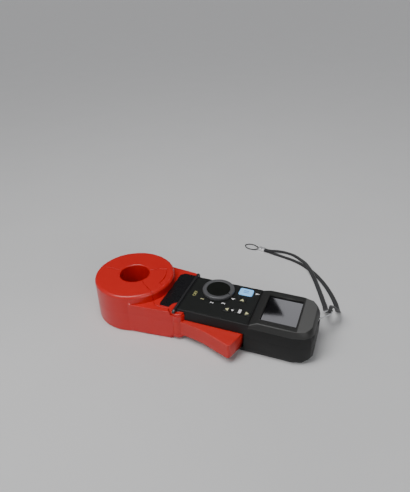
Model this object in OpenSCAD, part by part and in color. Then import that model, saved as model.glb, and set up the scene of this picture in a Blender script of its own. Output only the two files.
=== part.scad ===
// Clamp-on earth resistance tester: a red jaw head that closes round a conductor,
// a black handle with a selector, five keys and a display, and a wrist strap.
// The origin is the centre of the conductor window at mid height, +X runs from the
// jaws to the display end, +Z leaves the face, and the trigger is on the -Y side.

/* [Jaw ring] */
// Outside diameter of the closed jaws
ring_d = 95; // [92:0.5:102]
// Diameter of the conductor window
window_d = 35; // [28:0.5:38]
// Height of the jaws from back to front
ring_h = 50; // [48:0.5:54]
// Rounding of the jaws' outer edges
rim_round = 3.5; // [2:0.1:4.5]
// Chamfer at each mouth of the window
window_chamfer = 1; // [0.5:0.1:2]
// Wall of the red shells
head_wall = 2.4; // [2:0.1:3]
// Angle of the root seam below the X axis
root_angle = 37; // [33:0.5:41]
// Clearance between the fixed and the moving jaw
jaw_gap = 0.3; // [0.25:0.05:0.5]
// Width of the groove on the jaw root's face
root_groove_w = 1.4; // [1:0.1:2]
// Depth of the groove on the jaw root's face
root_groove_depth = 0.8; // [0.5:0.1:1.2]

/* [Neck] */
// Distance from the window centre to the hand guard
neck_len = 66; // [64:0.5:72]
// Height of the neck's face above the shell split
neck_top = 14; // [12:0.5:15]
// Width of the neck at the hand guard
neck_w = 77; // [74:0.5:79]
// Distance from the axis line to the inner side of the jaw arm
arm_line = 35.5; // [35:0.1:36.5]
// Length of the rating plate along the neck
plate_len = 19; // [14:0.5:20]
// Width of the rating plate
plate_w = 66; // [54:0.5:68]
// Thickness of the rating plate
plate_t = 0.6; // [0.4:0.1:1]
// Size of the cut at the rating plate's ring side corners
plate_cut = 4; // [2:0.5:6]

/* [Jaw hinge] */
// Distance of the hinge axis behind the guard's front face
hinge_back = 4; // [3.5:0.1:5]
// Distance of the hinge axis from the axis line
hinge_side = 32; // [31.5:0.1:32.5]
// Radius of the knuckle round the hinge pin
knuckle_r = 8.5; // [8:0.1:9]
// Height of each ear that holds an end of the hinge pin
ear_h = 2.6; // [2.4:0.1:3]
// Radius of the hinge pin
hinge_pin_r = 2.5; // [2:0.1:3]
// Wall of the hinge bush
bush_wall = 1.5; // [1:0.1:1.8]
// Running clearance of pins and shafts
running_gap = 0.06; // [0.03:0.01:0.09]

/* [Trigger] */
// Distance from the hinge to the trigger's end
trigger_len = 76; // [70:0.5:76]
// How far the trigger's tip stands out from the hinge axis
trigger_reach = 24; // [16:0.5:26]
// Height of the trigger in front of the shell split
trigger_front = 1.5; // [0.5:0.1:2]
// Height of the trigger behind the shell split
trigger_back = 17; // [14:0.1:17.5]
// Outside diameter of the return spring
spring_d = 8; // [6:0.5:9]
// Wire diameter of the return spring
spring_wire = 1.1; // [0.8:0.1:1.4]
// Number of turns of the return spring
spring_turns = 7; // [5:1:8]

/* [Magnetics] */
// Radial width of each core
core_w = 14; // [10:0.5:15]
// Height of each core
core_h = 12; // [9:0.5:13]
// Distance from the split to each core
core_lift = 3; // [2.5:0.1:4]
// Thickness of the shield between the cores
shield_t = 1; // [0.6:0.1:1.4]
// Thickness of each coil's winding
coil_t = 2; // [1:0.1:2.2]
// Arc that each coil covers
coil_arc = 44; // [30:1:50]

/* [Hand guard] */
// Thickness of the guard flange
guard_t = 3; // [2.5:0.1:4]
// Width of the guard flange
guard_w = 79; // [77:0.5:84]
// Height of the guard flange above the shell split
guard_top = 15.4; // [15:0.1:18]

/* [Handle] */
// Length of the handle's end beyond the cells
end_room = 14.1; // [13.5:0.1:18]
// Widest width of the handle
handle_w = 69; // [68.5:0.5:74]
// Height of the key panel above the shell split
panel_top = 13.7; // [13.2:0.1:14.5]
// Height of the display frame above the shell split
display_top = 17.3; // [16.5:0.1:20]
// Height of the deck under the display frame above the shell split
deck_top = 10; // [9:0.1:10.5]
// Height of the seam between the two housings above the shell split
seam_z = -2; // [-3:0.5:-1]
// Length of the key panel
panel_len = 82; // [81:0.5:84]
// Length of the slope up to the display frame
slope_len = 9; // [6:0.5:9.5]
// Wall of the housings
wall = 2.4; // [2:0.1:2.8]
// Thickness of the printed panel film
film_t = 0.4; // [0.2:0.05:0.6]

/* [Display] */
// Length of the display window
view_len = 38; // [30:0.5:40]
// Width of the display window
view_w = 44.6; // [36:0.2:46]
// Depth of the window glass below the frame
view_depth = 2.1; // [1:0.1:2.5]
// Thickness of the window glass
lens_t = 1.6; // [1:0.1:2]
// Margin of the glass beyond the window
lens_margin = 0.8; // [0.6:0.1:1.4]

/* [Selector] */
// Distance of the selector behind the guard's front face
knob_back = 36.3; // [35:0.1:38]
// Offset of the selector from the axis line
knob_side = 13.1; // [10:0.1:13.2]
// Radius of the selector knob
knob_r = 18.7; // [16:0.1:19]
// Height of the knob above the panel
knob_h = 4.4; // [4.2:0.1:7]
// Radius of the dished disc in the knob
disc_r = 13.8; // [10:0.1:14.4]
// Depth of the dish in the knob
disc_drop = 0.6; // [0.4:0.1:0.8]
// Radius of the selector shaft
shaft_r = 4; // [3:0.1:5]
// Clearance under the knob
knob_gap = 0.4; // [0.2:0.05:0.6]

/* [Keys] */
// Distance of the hold key and the up key behind the guard
keys_back = 64.3; // [62:0.1:65]
// Offset of the hold key from the axis line
hold_side = 21.5; // [21:0.1:22]
// Spacing of the hold key and the up key across the panel
key_rows = 16; // [15:0.1:16.2]
// Spacing of the keys in a row
key_step = 11.6; // [11.2:0.1:12]
// Length of the hold key
hold_len = 16; // [12:0.5:17]
// Width of the hold key
hold_w = 12; // [9:0.5:13]
// Length of a small key
key_len = 8.8; // [7:0.2:9]
// Width of a small key
key_w = 7.6; // [6:0.2:8.4]
// Height of the keys above the panel
key_rise = 0.9; // [0.6:0.1:1.4]
// Clearance round and under each key
key_gap = 0.3; // [0.2:0.05:0.4]
// Rim along both sides of each key that holds it under the panel
key_rim = 0.9; // [0.6:0.1:1.2]

/* [Batteries] */
// Diameter of one cell
cell_d = 14.2; // [13.8:0.1:14.3]
// Length of one cell
cell_len = 50.5; // [49:0.5:50.5]
// Number of cells
cell_count = 4; // [3:1:4]
// Gap between two cells
cell_gap = 0.2; // [0.1:0.05:0.3]

/* [Strap] */
// Radius of the strap hook's wire
hook_wire_r = 0.7; // [0.5:0.05:0.9]
// Radius of the strap hook's bend
hook_bend_r = 3.2; // [3:0.1:4]
// Length of the strap hook's leg
hook_leg = 18; // [16:0.5:20]
// Length of the strap hook's return leg
hook_return = 6; // [4:0.5:8]
// Radius of the strap pin
strap_pin_r = 1.5; // [1.2:0.1:1.8]
// Width of the flat strap braid
strap_w = 6; // [4:0.1:6.4]
// Thickness of the flat strap braid
strap_t = 2; // [1.4:0.1:2.4]
// Radius of the thin loop cord
loop_r = 0.8; // [0.6:0.05:1]

/* [Hidden] */
$fn = 64;
eps = 0.01;
far = 300;
seat_gap = 0.3;

// Levels along Z, counted from mid height
back_z = -ring_h / 2;
head_top = ring_h / 2;
inner_top = panel_top - wall;
inner_back = back_z + wall;
deck_under = deck_top - wall;

// Jaw ring
ring_r = ring_d / 2;
window_r = window_d / 2;
cavity_in = window_r + head_wall;
cavity_out = ring_r - head_wall;
core_mid = (cavity_in + cavity_out) / 2 - 1.5;
core_in = core_mid - core_w / 2;
core_out = core_mid + core_w / 2;
core_recess = 0.2;
saddle_w = 5;
saddle_in = cavity_in + seat_gap;
saddle_out = core_out + 2.6;
shield_out = core_out + 0.5;
coil_mid_angle = 95;
lead_r = 0.6;
lead_y = 11;

// Hinge
guard_back = neck_len + guard_t;
hinge_x = neck_len + hinge_back;
hinge_y = -hinge_side;
knuckle_front = inner_top - ear_h;
knuckle_back = -inner_back - ear_h;
bush_r = hinge_pin_r + running_gap + bush_wall;
ear_r = knuckle_r + 1.2;
ear_small_r = knuckle_r - 1;
dowel_r = 1.1;
dowel_ring = (bush_r + knuckle_r) / 2;
open_angle = 16;

// Handle and the room for the cells in it
half_w = handle_w / 2;
panel_end = guard_back + panel_len;
contact_t = 0.6;
contact_bump = 0.9;
tray_in_start = panel_end + 0.9;
tray_in_end = tray_in_start + cell_len + 2 * (contact_t + contact_bump);
handle_end = tray_in_end + end_room;
frame_start = panel_end + slope_len;
top_inset = 2;
frame_inset = 4;
back_inset = 3.5;
step_wall = 1;

// Board
board_t = 1.6;
board_top = trigger_front + 3.5;
board_start = guard_back + wall + 5;
board_end = panel_end + 1;
board_half = half_w - wall - 4.5;
boss_r = 3.6;
head_boss_r = 3.4;
screw_r = 1.4;
screw_gap = 0.05;
screw_head_r = 2.3;
screw_head_t = 2;
small_screw_r = 1;
small_head_r = 2;
small_head_t = 1;
small_bite = 4;

// Housing screws and ties
housing_posts = [
    [guard_back + 11, board_half - 0.5],
    [guard_back + 15, -14],
    [panel_end - 6, board_half - 0.5],
    [panel_end - 6, -4],
    [handle_end - 5.5, -12]
];
tie_points = [[28, -10], [28, 4], [-12, -10]];
tie_len = 14;
head_post_r = 42.2;
head_posts = [
    [head_post_r * cos(150), head_post_r * sin(150)],
    [neck_len - 12, 30],
    [neck_len - 12, -22]
];
jaw_posts = [
    [head_post_r * cos(-150), head_post_r * sin(-150)],
    [28, -39.4]
];
board_posts = [
    [board_start + 8.5, 4],
    [panel_end - 22.4, -23],
    [panel_end - 6.6, 11]
];

// Selector and keys
knob_x = neck_len + knob_back;
knob_y = knob_side;
knob_base = panel_top + knob_gap;
knob_top = panel_top + knob_h;
clip_t = 0.8;
rotor_r = 9;
rotor_t = 1.8;
stator_t = 1.2;
keys_x = guard_back + keys_back;
hold_pos = [keys_x, hold_side];
key_places = [
    [keys_x, hold_side - key_rows],
    [keys_x - key_step, hold_side - 2.3 * key_rows],
    [keys_x + key_step, hold_side - 2.3 * key_rows],
    [keys_x + 0.7, hold_side - 2.25 * key_rows]
];
key_flange_t = 1;
key_top = panel_top + key_rise;
key_flange_top = inner_top - key_gap;
key_round = 2.4;
mat_t = 1.2;
mat_bar = 4;
dome_r = 3;

// Display
view_start = frame_start + 1.2;
lens_top = display_top - view_depth;
lens_base = lens_top - lens_t;
flex_t = 0.3;
flex_w = 14;
flex_lap = 3;

// Batteries
cell_r = cell_d / 2;
cell_pitch = cell_d + cell_gap;
cell_z = inner_back + seat_gap + cell_r;
tray_half = (cell_count * cell_pitch) / 2 + 0.4;
tray_wall = 1.5;
tray_top = cell_z + cell_r + seat_gap;
cell_start = tray_in_start + contact_t + contact_bump;
nub_len = 1;
cover_start = tray_in_start - 0.6;
cover_end = tray_in_end + 5.2;
cover_half = tray_half;
cover_gap = 0.2;
cover_screw_x = tray_in_end + 2.2;

// Strap hook
strap_pin_x = handle_end - 3.5;
strap_pin_y = 12;
hook_z = 4;
hook_dir = 48;
eye_r = strap_pin_r + running_gap + hook_wire_r;
notch_half = 2.8;
bight_angle = 32;
bight_gap = 0.4;
bight_w = strap_w * 0.57;

red = "firebrick";
black = [0.09, 0.09, 0.1];
dark_grey = [0.2, 0.2, 0.2];
steel = "silver";

// ---------------------------------------------------------------- shared shapes

// A half plane below a line that runs through the origin at the angle a,
// moved outwards by g.
module half_plane(a, g) {
    rotate(a)
        translate([-far, -far])
            square([2 * far, far + g]);
}

// The sector of the ring that opens, seen from the front and grown by g.
module moving_sector(g) {
    half_gap = jaw_gap / 2;
    intersection() {
        circle(r = ring_r + g);
        half_plane(0, g - half_gap);
        half_plane(-root_angle, g - half_gap);
    }
}

// The web and the bar that carry the moving jaw to the hinge, grown by g.
module jaw_arm(g) {
    seam_x = ring_r * cos(root_angle);
    seam_y = -ring_r * sin(root_angle) - jaw_gap;
    tangent = 71.8;
    polygon([
        [ring_r * cos(tangent) - 6, -ring_r * sin(tangent) + 8],
        [ring_r * cos(tangent), -ring_r * sin(tangent) - g],
        [hinge_x - 3, hinge_y - knuckle_r + 0.4 - g],
        [hinge_x, hinge_y],
        [hinge_x - 6, -arm_line + g],
        [seam_x + 6.2 + g * 0.5, -arm_line + g],
        [seam_x + g * 0.75, seam_y + g * 0.65],
        [seam_x - 6, seam_y + 1]
    ]);
}

module moving_plan(g) {
    moving_sector(g);
    difference() {
        jaw_arm(g);
        half_plane_above_seam(g);
    }
}

// What lies on the fixed side of the root seam, inside the ring.
module half_plane_above_seam(g) {
    intersection() {
        circle(r = ring_r);
        rotate(-root_angle)
            translate([-far, g - jaw_gap / 2])
                square(2 * far);
    }
}

module at_hinge() {
    translate([hinge_x, hinge_y])
        children();
}

// The ring, from the split at z = 0 to its face, with a rounded outer edge.
module half_ring() {
    rotate_extrude($fn = 128)
        union() {
            square([ring_r, head_top - rim_round]);
            square([ring_r - rim_round, head_top]);
            translate([ring_r - rim_round, head_top - rim_round])
                circle(r = rim_round);
        }
}

module window_bore() {
    translate([0, 0, -eps])
        cylinder(r = window_r, h = ring_h, $fn = 128);
    translate([0, 0, head_top - window_chamfer])
        cylinder(r1 = window_r, r2 = window_r + window_chamfer + eps,
                 h = window_chamfer + eps, $fn = 128);
}

module ring_cavity() {
    translate([0, 0, -eps])
        difference() {
            cylinder(r = cavity_out, h = head_top - head_wall + eps, $fn = 128);
            translate([0, 0, -1])
                cylinder(r = cavity_in, h = ring_h, $fn = 128);
        }
}

// Outline of the fixed neck, inset by i. Its ring side lies inside the ring.
module neck_plan(i) {
    half = neck_w / 2;
    near = -arm_line - 3;
    polygon([
        [ring_r * 0.25, ring_r * 0.932 - i],
        [neck_len - i, half - i],
        [neck_len - i, near],
        [ring_r * 0.63, near],
        [core_mid, -core_in / 2],
        [core_mid, core_in / 2],
        [core_in, core_mid]
    ]);
}

// The section of both cores as a full ring; side is 1 for sense, -1 for drive.
module core_ring(side, g) {
    low = side > 0 ? core_lift - g : -core_lift - core_h - g;
    translate([0, 0, low])
        difference() {
            cylinder(r = core_out + g, h = core_h + 2 * g, $fn = 128);
            translate([0, 0, -1])
                cylinder(r = core_in - g, h = core_h + 4, $fn = 128);
        }
}

module shield_ring(g) {
    translate([0, 0, -shield_t / 2 - g])
        difference() {
            cylinder(r = shield_out, h = shield_t + 2 * g, $fn = 128);
            translate([0, 0, -1])
                cylinder(r = saddle_in + seat_gap, h = shield_t + 3, $fn = 128);
        }
}

// Keeps the part of its children that lies in the fixed jaw, with room g
// left in front of the seams.
module in_fixed_jaw(g) {
    difference() {
        children();
        translate([0, 0, -far])
            linear_extrude(2 * far)
                moving_plan(jaw_gap + g);
    }
}

module in_moving_jaw(g) {
    intersection() {
        children();
        translate([0, 0, -far])
            linear_extrude(2 * far)
                moving_sector(-g);
    }
}

module saddles(angles) {
    difference() {
        for (a = angles)
            rotate(a)
                translate([saddle_in, -saddle_w / 2, -head_top + head_wall])
                    cube([saddle_out - saddle_in, saddle_w, ring_h - 2 * head_wall]);
        core_ring(1, 0);
        core_ring(-1, 0);
        shield_ring(0);
    }
}

module coil(side) {
    low = side > 0 ? core_lift - coil_t : -core_lift - core_h - coil_t;
    rotate(coil_mid_angle - coil_arc / 2)
        rotate_extrude(angle = coil_arc, $fn = 128)
            difference() {
                translate([core_in - coil_t, low])
                    square([core_w + 2 * coil_t, core_h + 2 * coil_t]);
                translate([core_in, low + coil_t])
                    square([core_w, core_h]);
            }
}

// A rectangle with round corners, centred, as an exact outline.
module rounded(l, w, r) {
    square([l - 2 * r, w], center = true);
    square([l, w - 2 * r], center = true);
    for (x = [-1, 1], y = [-1, 1])
        translate([x * (l / 2 - r), y * (w / 2 - r)])
            circle(r = r, $fn = 32);
}

// A screw whose head's outer face is at z = 0, pointing towards +Z.
module screw(r, head_r, head_t, len) {
    difference() {
        union() {
            cylinder(r = head_r, h = head_t, $fn = 32);
            cylinder(r = r, h = len, $fn = 32);
        }
        translate([0, 0, -eps])
            cylinder(r = head_r * 0.45, h = head_t * 0.6, $fn = 6);
    }
}

// ---------------------------------------------------------------- swept cords

function unit(v) = v / norm(v);
function tangent_at(p, i) =
    unit(p[min(i + 1, len(p) - 1)] - p[max(i - 1, 0)]);
function side_of(t) = unit([-t[1], t[0], 0]);
function ring_at(p, i, w, h, sides) =
    let (t = tangent_at(p, i), s = side_of(t), n = cross(t, s))
    [for (k = [0 : sides - 1])
        let (a = 360 * (k + 0.5) / sides)
        p[i] + s * w / 2 * cos(a) + n * h / 2 * sin(a)];
// Points between the route's points, on a smooth curve through all of them.
function smooth_at(p, i, u) =
    let (a = p[max(i - 1, 0)], b = p[i], c = p[i + 1], d = p[min(i + 2, len(p) - 1)])
    0.5 * (2 * b + (c - a) * u + (2 * a - 5 * b + 4 * c - d) * u * u
           + (3 * b - a - 3 * c + d) * u * u * u);
function smooth(p, steps) =
    [for (i = [0 : len(p) - 2], k = [0 : steps - 1]) smooth_at(p, i, k / steps),
     p[len(p) - 1]];

// One closed tube of an elliptical section, w wide and h high, along p.
module tube(p, w, h, sides) {
    rings = len(p);
    points = [for (i = [0 : rings - 1]) each ring_at(p, i, w, h, sides)];
    walls = [for (i = [0 : rings - 2], k = [0 : sides - 1])
        let (a = i * sides + k, b = i * sides + (k + 1) % sides)
        [a, a + sides, b + sides, b]];
    ends = [
        [for (k = [0 : sides - 1]) k],
        [for (k = [sides - 1 : -1 : 0]) (rings - 1) * sides + k]
    ];
    polyhedron(points = points, faces = concat(walls, ends), convexity = 10);
}

// ---------------------------------------------------------------- jaw head

// Posts in the ring reach its face, and those in the neck reach the neck's.
function post_top(p, neck_d) =
    (norm(p) < ring_r ? head_top : neck_d) - head_wall;

// One red shell of the fixed head, from the split outwards. The side is 1 for
// the front shell and -1 for the back shell, which is mirrored afterwards.
module head_half(side, neck_d, knuckle_d, housing_d) {
    ear_start = knuckle_d + jaw_gap;
    difference() {
        union() {
            difference() {
                union() {
                    half_ring();
                    linear_extrude(neck_d)
                        neck_plan(0);
                }
                // Room for the moving jaw, its arm and the knuckle
                translate([0, 0, -1])
                    linear_extrude(ring_h)
                        difference() {
                            moving_plan(jaw_gap);
                            at_hinge() circle(r = ear_r);
                        }
                translate([0, 0, -1])
                    linear_extrude(ear_start + 1)
                        union() {
                            moving_plan(jaw_gap);
                            at_hinge() circle(r = knuckle_r + jaw_gap);
                        }
                head_cavity(neck_d);
            }
            translate([hinge_x, hinge_y, ear_start])
                cylinder(r = ear_small_r, h = housing_d - ear_start);
            for (p = head_posts)
                translate([p[0], p[1], 0])
                    cylinder(r = head_boss_r, h = post_top(p, neck_d) + eps);
            for (t = tie_points)
                translate([neck_len - 9, t[0], 0])
                    tie_boss(side * t[1], neck_d);
        }
        window_bore();
        core_ring(1, screw_gap);
        translate([hinge_x, hinge_y, -1])
            cylinder(r = hinge_pin_r, h = housing_d + 2);
        for (p = head_posts)
            translate([p[0], p[1], -1])
                cylinder(r = screw_r + screw_gap, h = post_top(p, neck_d) - 1);
    }
}

// The hollow of a head shell, with a wall left along the seams and the knuckle.
module head_cavity(neck_d) {
    difference() {
        union() {
            ring_cavity();
            translate([0, 0, -1])
                linear_extrude(neck_d - head_wall + 1)
                    neck_plan(head_wall);
        }
        translate([0, 0, -2])
            linear_extrude(ring_h)
                union() {
                    moving_plan(jaw_gap + head_wall);
                    at_hinge() circle(r = ear_r + head_wall);
                }
    }
}

// A block behind the neck's end wall that a tie screw bites into.
module tie_boss(z, depth) {
    half = 4;
    low = max(0, z - half);
    high = min(depth - head_wall, z + half);
    if (high > low)
        translate([0, -half, low])
            cube([9, 2 * half, high - low]);
}

module tie_holes() {
    for (t = tie_points)
        translate([neck_len - 8, t[0], t[1]])
            rotate([0, 90, 0])
                cylinder(r = screw_r + screw_gap, h = 20);
}

// Room for the coil leads through the neck's end, the guard and the handle's wall.
module lead_hole() {
    translate([neck_len - head_wall - 2, lead_y - 7, -3])
        cube([20, 14, 8]);
}

// Shallow marks on the jaw root's face: a seam from the window, a groove that
// follows the ring, and the notch where that groove leaves over the rim.
module root_marks() {
    seam_w = 0.5;
    groove_r = 38.5;
    from = -12;
    to = 31;
    corner = [groove_r * cos(to), groove_r * sin(to)];
    translate([0, 0, head_top - root_groove_depth]) {
        rotate(from)
            rotate_extrude(angle = to - from, $fn = 128)
                translate([groove_r - root_groove_w / 2, 0])
                    square([root_groove_w, ring_h]);
        translate([corner[0], corner[1], 0]) {
            cylinder(r = root_groove_w / 2, h = ring_h, $fn = 32);
            rotate(-170)
                translate([0, -root_groove_w / 2, 0])
                    cube([8, root_groove_w, ring_h]);
        }
        rotate(from)
            translate([groove_r, 0, 0]) {
                cylinder(r = root_groove_w / 2, h = ring_h, $fn = 32);
                rotate(-25)
                    translate([0, -seam_w / 2, 0])
                        cube([ring_r, seam_w, ring_h]);
            }
    }
    translate([0, 0, head_top - seam_w])
        rotate(root_angle)
            translate([window_r - 1, -seam_w / 2, 0])
                cube([13, seam_w, ring_h]);
}

module head_shell_front() {
    color(red)
        difference() {
            head_half(1, neck_top, knuckle_front, inner_top);
            tie_holes();
            lead_hole();
            root_marks();
            // Seat of the rating plate
            translate([0, 0, neck_top - plate_t])
                linear_extrude(far)
                    plate_plan(0);
        }
}

module head_shell_back() {
    color(red)
        difference() {
            mirror([0, 0, 1])
                head_half_back();
            tie_holes();
            lead_hole();
        }
}

// The back shell is made face up and then mirrored, so its screw heads are cut here.
module head_half_back() {
    difference() {
        head_half(-1, head_top, knuckle_back, -inner_back);
        for (p = head_posts)
            translate([p[0], p[1], 0]) {
                translate([0, 0, -1])
                    cylinder(r = screw_r + screw_gap, h = ring_h);
                translate([0, 0, head_top - screw_head_t - 1])
                    cylinder(r = screw_head_r + seat_gap, h = ring_h);
            }
    }
}

module head_screws() {
    color(steel)
        for (p = head_posts)
            translate([p[0], p[1], back_z + 1])
                screw(screw_r, screw_head_r, screw_head_t, ring_h / 2 + 6);
}

module fixed_core_sense() {
    color("dimgray")
        in_fixed_jaw(core_recess)
            core_ring(1, 0);
}

module fixed_core_drive() {
    color("dimgray")
        in_fixed_jaw(core_recess)
            core_ring(-1, 0);
}

module fixed_shield() {
    color("silver")
        in_fixed_jaw(head_wall + seat_gap)
            shield_ring(0);
}

module fixed_core_saddles() {
    color("ivory")
        saddles([-14, 30, 62, 128, 165]);
}

module moving_core_sense() {
    color("dimgray")
        in_moving_jaw(core_recess)
            core_ring(1, 0);
}

module moving_core_drive() {
    color("dimgray")
        in_moving_jaw(core_recess)
            core_ring(-1, 0);
}

module moving_shield() {
    color("silver")
        in_moving_jaw(head_wall + seat_gap)
            shield_ring(0);
}

module moving_core_saddles() {
    color("ivory")
        saddles([-55, -95, -135, -166]);
}

module sense_coil() {
    color("peru")
        coil(1);
}

module drive_coil() {
    color("peru")
        coil(-1);
}

// Two leads from the coils, round the inside of the shell and through the neck.
module coil_leads() {
    run_r = cavity_out - seat_gap - lead_r;
    color("goldenrod")
        for (side = [1, -1])
            let (
                z = side * core_lift,
                arc = [for (a = [coil_mid_angle - coil_arc / 2 + 2 : -8 : 30])
                    [run_r * cos(a), run_r * sin(a), z]],
                start = [core_out + coil_t, coil_mid_angle - coil_arc / 2 + 7],
                first = [[start[0] * cos(start[1]), start[0] * sin(start[1]), z]],
                last = [[neck_len - 18, lead_y + 6, side * 2], [neck_len - 10, lead_y + 1, side + 1],
                    [neck_len, lead_y + side, 1], [board_start - 3, lead_y + side, 2],
                    [board_start, lead_y + side, board_top + 2 * lead_r]]
            )
            tube(concat(first, arc, last), 2 * lead_r, 2 * lead_r, 8);
}

// ---------------------------------------------------------------- moving jaw and trigger

module moving_half(neck_d, knuckle_d, trigger_d) {
    difference() {
        union() {
            intersection() {
                half_ring();
                translate([0, 0, -1])
                    linear_extrude(ring_h)
                        moving_sector(0);
            }
            linear_extrude(neck_d)
                difference() {
                    moving_plan(0);
                    at_hinge() circle(r = ear_r + jaw_gap * 2);
                }
            linear_extrude(knuckle_d)
                difference() {
                    union() {
                        moving_plan(0);
                        at_hinge() circle(r = knuckle_r);
                    }
                    translate([hinge_x + knuckle_r, -far])
                        square(2 * far);
                }
            for (p = jaw_posts)
                translate([p[0], p[1], 0])
                    cylinder(r = head_boss_r, h = post_top(p, neck_d) + eps);
        }
        in_moving_jaw(head_wall)
            difference() {
                ring_cavity();
                for (p = jaw_posts)
                    translate([p[0], p[1], -1])
                        cylinder(r = head_boss_r, h = ring_h);
            }
        window_bore();
        core_ring(1, screw_gap);
        // Seat of the trigger's eye between the two knuckle halves
        translate([hinge_x, hinge_y, -1])
            cylinder(r = knuckle_r + 0.2, h = trigger_d + 1);
        translate([hinge_x, hinge_y, -1])
            cylinder(r = bush_r, h = ring_h);
        for (a = [35, 145])
            translate([hinge_x, hinge_y, -1])
                rotate(a)
                    translate([dowel_ring, 0, 0])
                        cylinder(r = dowel_r, h = knuckle_d - 1);
        for (p = jaw_posts)
            translate([p[0], p[1], -1])
                cylinder(r = screw_r + screw_gap, h = post_top(p, neck_d) - 1);
    }
}

module moving_jaw_front() {
    color(red)
        moving_half(neck_top, knuckle_front, trigger_front);
}

module moving_jaw_back() {
    color(red)
        mirror([0, 0, 1])
            difference() {
                moving_half(head_top, knuckle_back, trigger_back);
                for (p = jaw_posts)
                    translate([p[0], p[1], 0]) {
                        translate([0, 0, -1])
                            cylinder(r = screw_r + screw_gap, h = ring_h);
                        translate([0, 0, head_top - screw_head_t - 1])
                            cylinder(r = screw_head_r + seat_gap, h = ring_h);
                    }
            }
}

module jaw_screws() {
    color(steel)
        for (p = jaw_posts)
            translate([p[0], p[1], back_z + 1])
                screw(screw_r, screw_head_r, screw_head_t, ring_h / 2 + 6);
}

// Outline of the trigger beyond its eye, from above.
module trigger_plan() {
    at_hinge()
        polygon([
            [0, 0.5],
            [trigger_len, 1],
            [trigger_len - 6.5, -trigger_reach * 0.8],
            [trigger_len - 8, -trigger_reach * 0.95],
            [trigger_len - 10, -trigger_reach],
            [trigger_len - 12.5, -trigger_reach * 0.97],
            [trigger_len - 28, -trigger_reach * 0.72],
            [trigger_len - 42, -trigger_reach * 0.5],
            [knuckle_r + 8, -knuckle_r * 0.98],
            [2, -knuckle_r * 0.7]
        ]);
}

module trigger() {
    height = trigger_front + trigger_back;
    color(red)
        difference() {
            translate([0, 0, -trigger_back])
                union() {
                    linear_extrude(height)
                        trigger_plan();
                    at_hinge()
                        cylinder(r = knuckle_r, h = height);
                }
            translate([hinge_x, hinge_y, -far])
                cylinder(r = bush_r, h = 2 * far);
            for (a = [35, 145])
                translate([hinge_x, hinge_y, -far])
                    rotate(a)
                        translate([dowel_ring, 0, 0])
                            cylinder(r = dowel_r, h = 2 * far);
            // Pocket of the return spring
            translate([spring_x, hinge_y - spring_pocket, spring_z])
                rotate([-90, 0, 0])
                    cylinder(r = spring_d / 2 + seat_gap, h = far);
        }
}

module trigger_dowels() {
    color(steel)
        for (a = [35, 145])
            translate([hinge_x, hinge_y, -knuckle_back + 2])
                rotate(a)
                    translate([dowel_ring, 0, 0])
                        cylinder(r = dowel_r, h = knuckle_back + knuckle_front - 4, $fn = 32);
}

module hinge_pin() {
    color(steel)
        translate([hinge_x, hinge_y, inner_back])
            cylinder(r = hinge_pin_r, h = inner_top - inner_back);
}

module hinge_bush() {
    color("goldenrod")
        translate([hinge_x, hinge_y, -knuckle_back])
            difference() {
                cylinder(r = bush_r, h = knuckle_back + knuckle_front);
                translate([0, 0, -1])
                    cylinder(r = hinge_pin_r + running_gap, h = far);
            }
}

// Return spring between the trigger and a rib of the back housing.
spring_x = hinge_x + 31;
spring_z = -8;
spring_pocket = 4;
spring_seat_y = -13;
spring_coil_r = (spring_d - spring_wire) / 2;
spring_start_y = hinge_y - spring_pocket + spring_wire / 2;
spring_len = spring_seat_y - spring_wire / 2 - spring_start_y;
function spring_ring(i, steps, sides) =
    let (
        a = 360 * i / steps,
        y = spring_start_y + spring_len * i / (steps * spring_turns),
        out = [cos(a), 0, sin(a)]
    )
    [for (k = [0 : sides - 1])
        let (b = 360 * k / sides)
        [spring_x, y, spring_z]
        + out * (spring_coil_r + spring_wire / 2 * cos(b))
        + [0, spring_wire / 2 * sin(b), 0]];

module jaw_return_spring() {
    steps = 14;
    sides = 6;
    rings = steps * spring_turns + 1;
    points = [for (i = [0 : rings - 1]) each spring_ring(i, steps, sides)];
    walls = [for (i = [0 : rings - 2], k = [0 : sides - 1])
        let (a = i * sides + k, b = i * sides + (k + 1) % sides)
        [b, b + sides, a + sides, a]];
    ends = [
        [for (k = [sides - 1 : -1 : 0]) k],
        [for (k = [0 : sides - 1]) (rings - 1) * sides + k]
    ];
    color(steel)
        polyhedron(points = points, faces = concat(walls, ends), convexity = 10);
}

// ---------------------------------------------------------------- guard and plate

// Outline of the rating plate on the neck, shrunk by i.
module plate_plan(i) {
    half = plate_w / 2 - i;
    start = neck_len - plate_len + i;
    near = -plate_w / 2 + i;
    difference() {
        polygon([
            [start, near + plate_cut], [start + 1.5, near], [neck_len - i, near],
            [neck_len - i, half], [start + plate_cut, half], [start, half - plate_cut]
        ]);
        at_hinge() circle(r = ear_r + jaw_gap + seat_gap);
        circle(r = ring_r + seat_gap);
    }
}

module rating_plate() {
    color(black)
        translate([0, 0, neck_top - plate_t])
            linear_extrude(plate_t + 0.2)
                plate_plan(0.15);
}

module hand_guard() {
    half = guard_w / 2;
    bottom = neck_w / 2 - 3;
    ear_top = inner_top + 0.2;
    color(black)
        difference() {
            translate([neck_len, 0, 0])
                rotate([90, 0, 90])
                    linear_extrude(guard_t)
                        polygon([
                            [-half + 2.5, guard_top], [half - 2.5, guard_top],
                            [half, guard_top - 2.5], [half, back_z + 4],
                            [bottom, back_z], [hinge_y + 6, back_z],
                            [hinge_y + 6, ear_top], [-half, ear_top],
                            [-half, guard_top - 2.5]
                        ]);
            translate([hinge_x, hinge_y, back_z - 1])
                cylinder(r = knuckle_r + jaw_gap, h = ear_top - back_z + 1);
            tie_holes();
            lead_hole();
            translate([neck_len - 1, -4, -19])
                cube([guard_t + 2, 26, 12]);
        }
}

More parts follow.
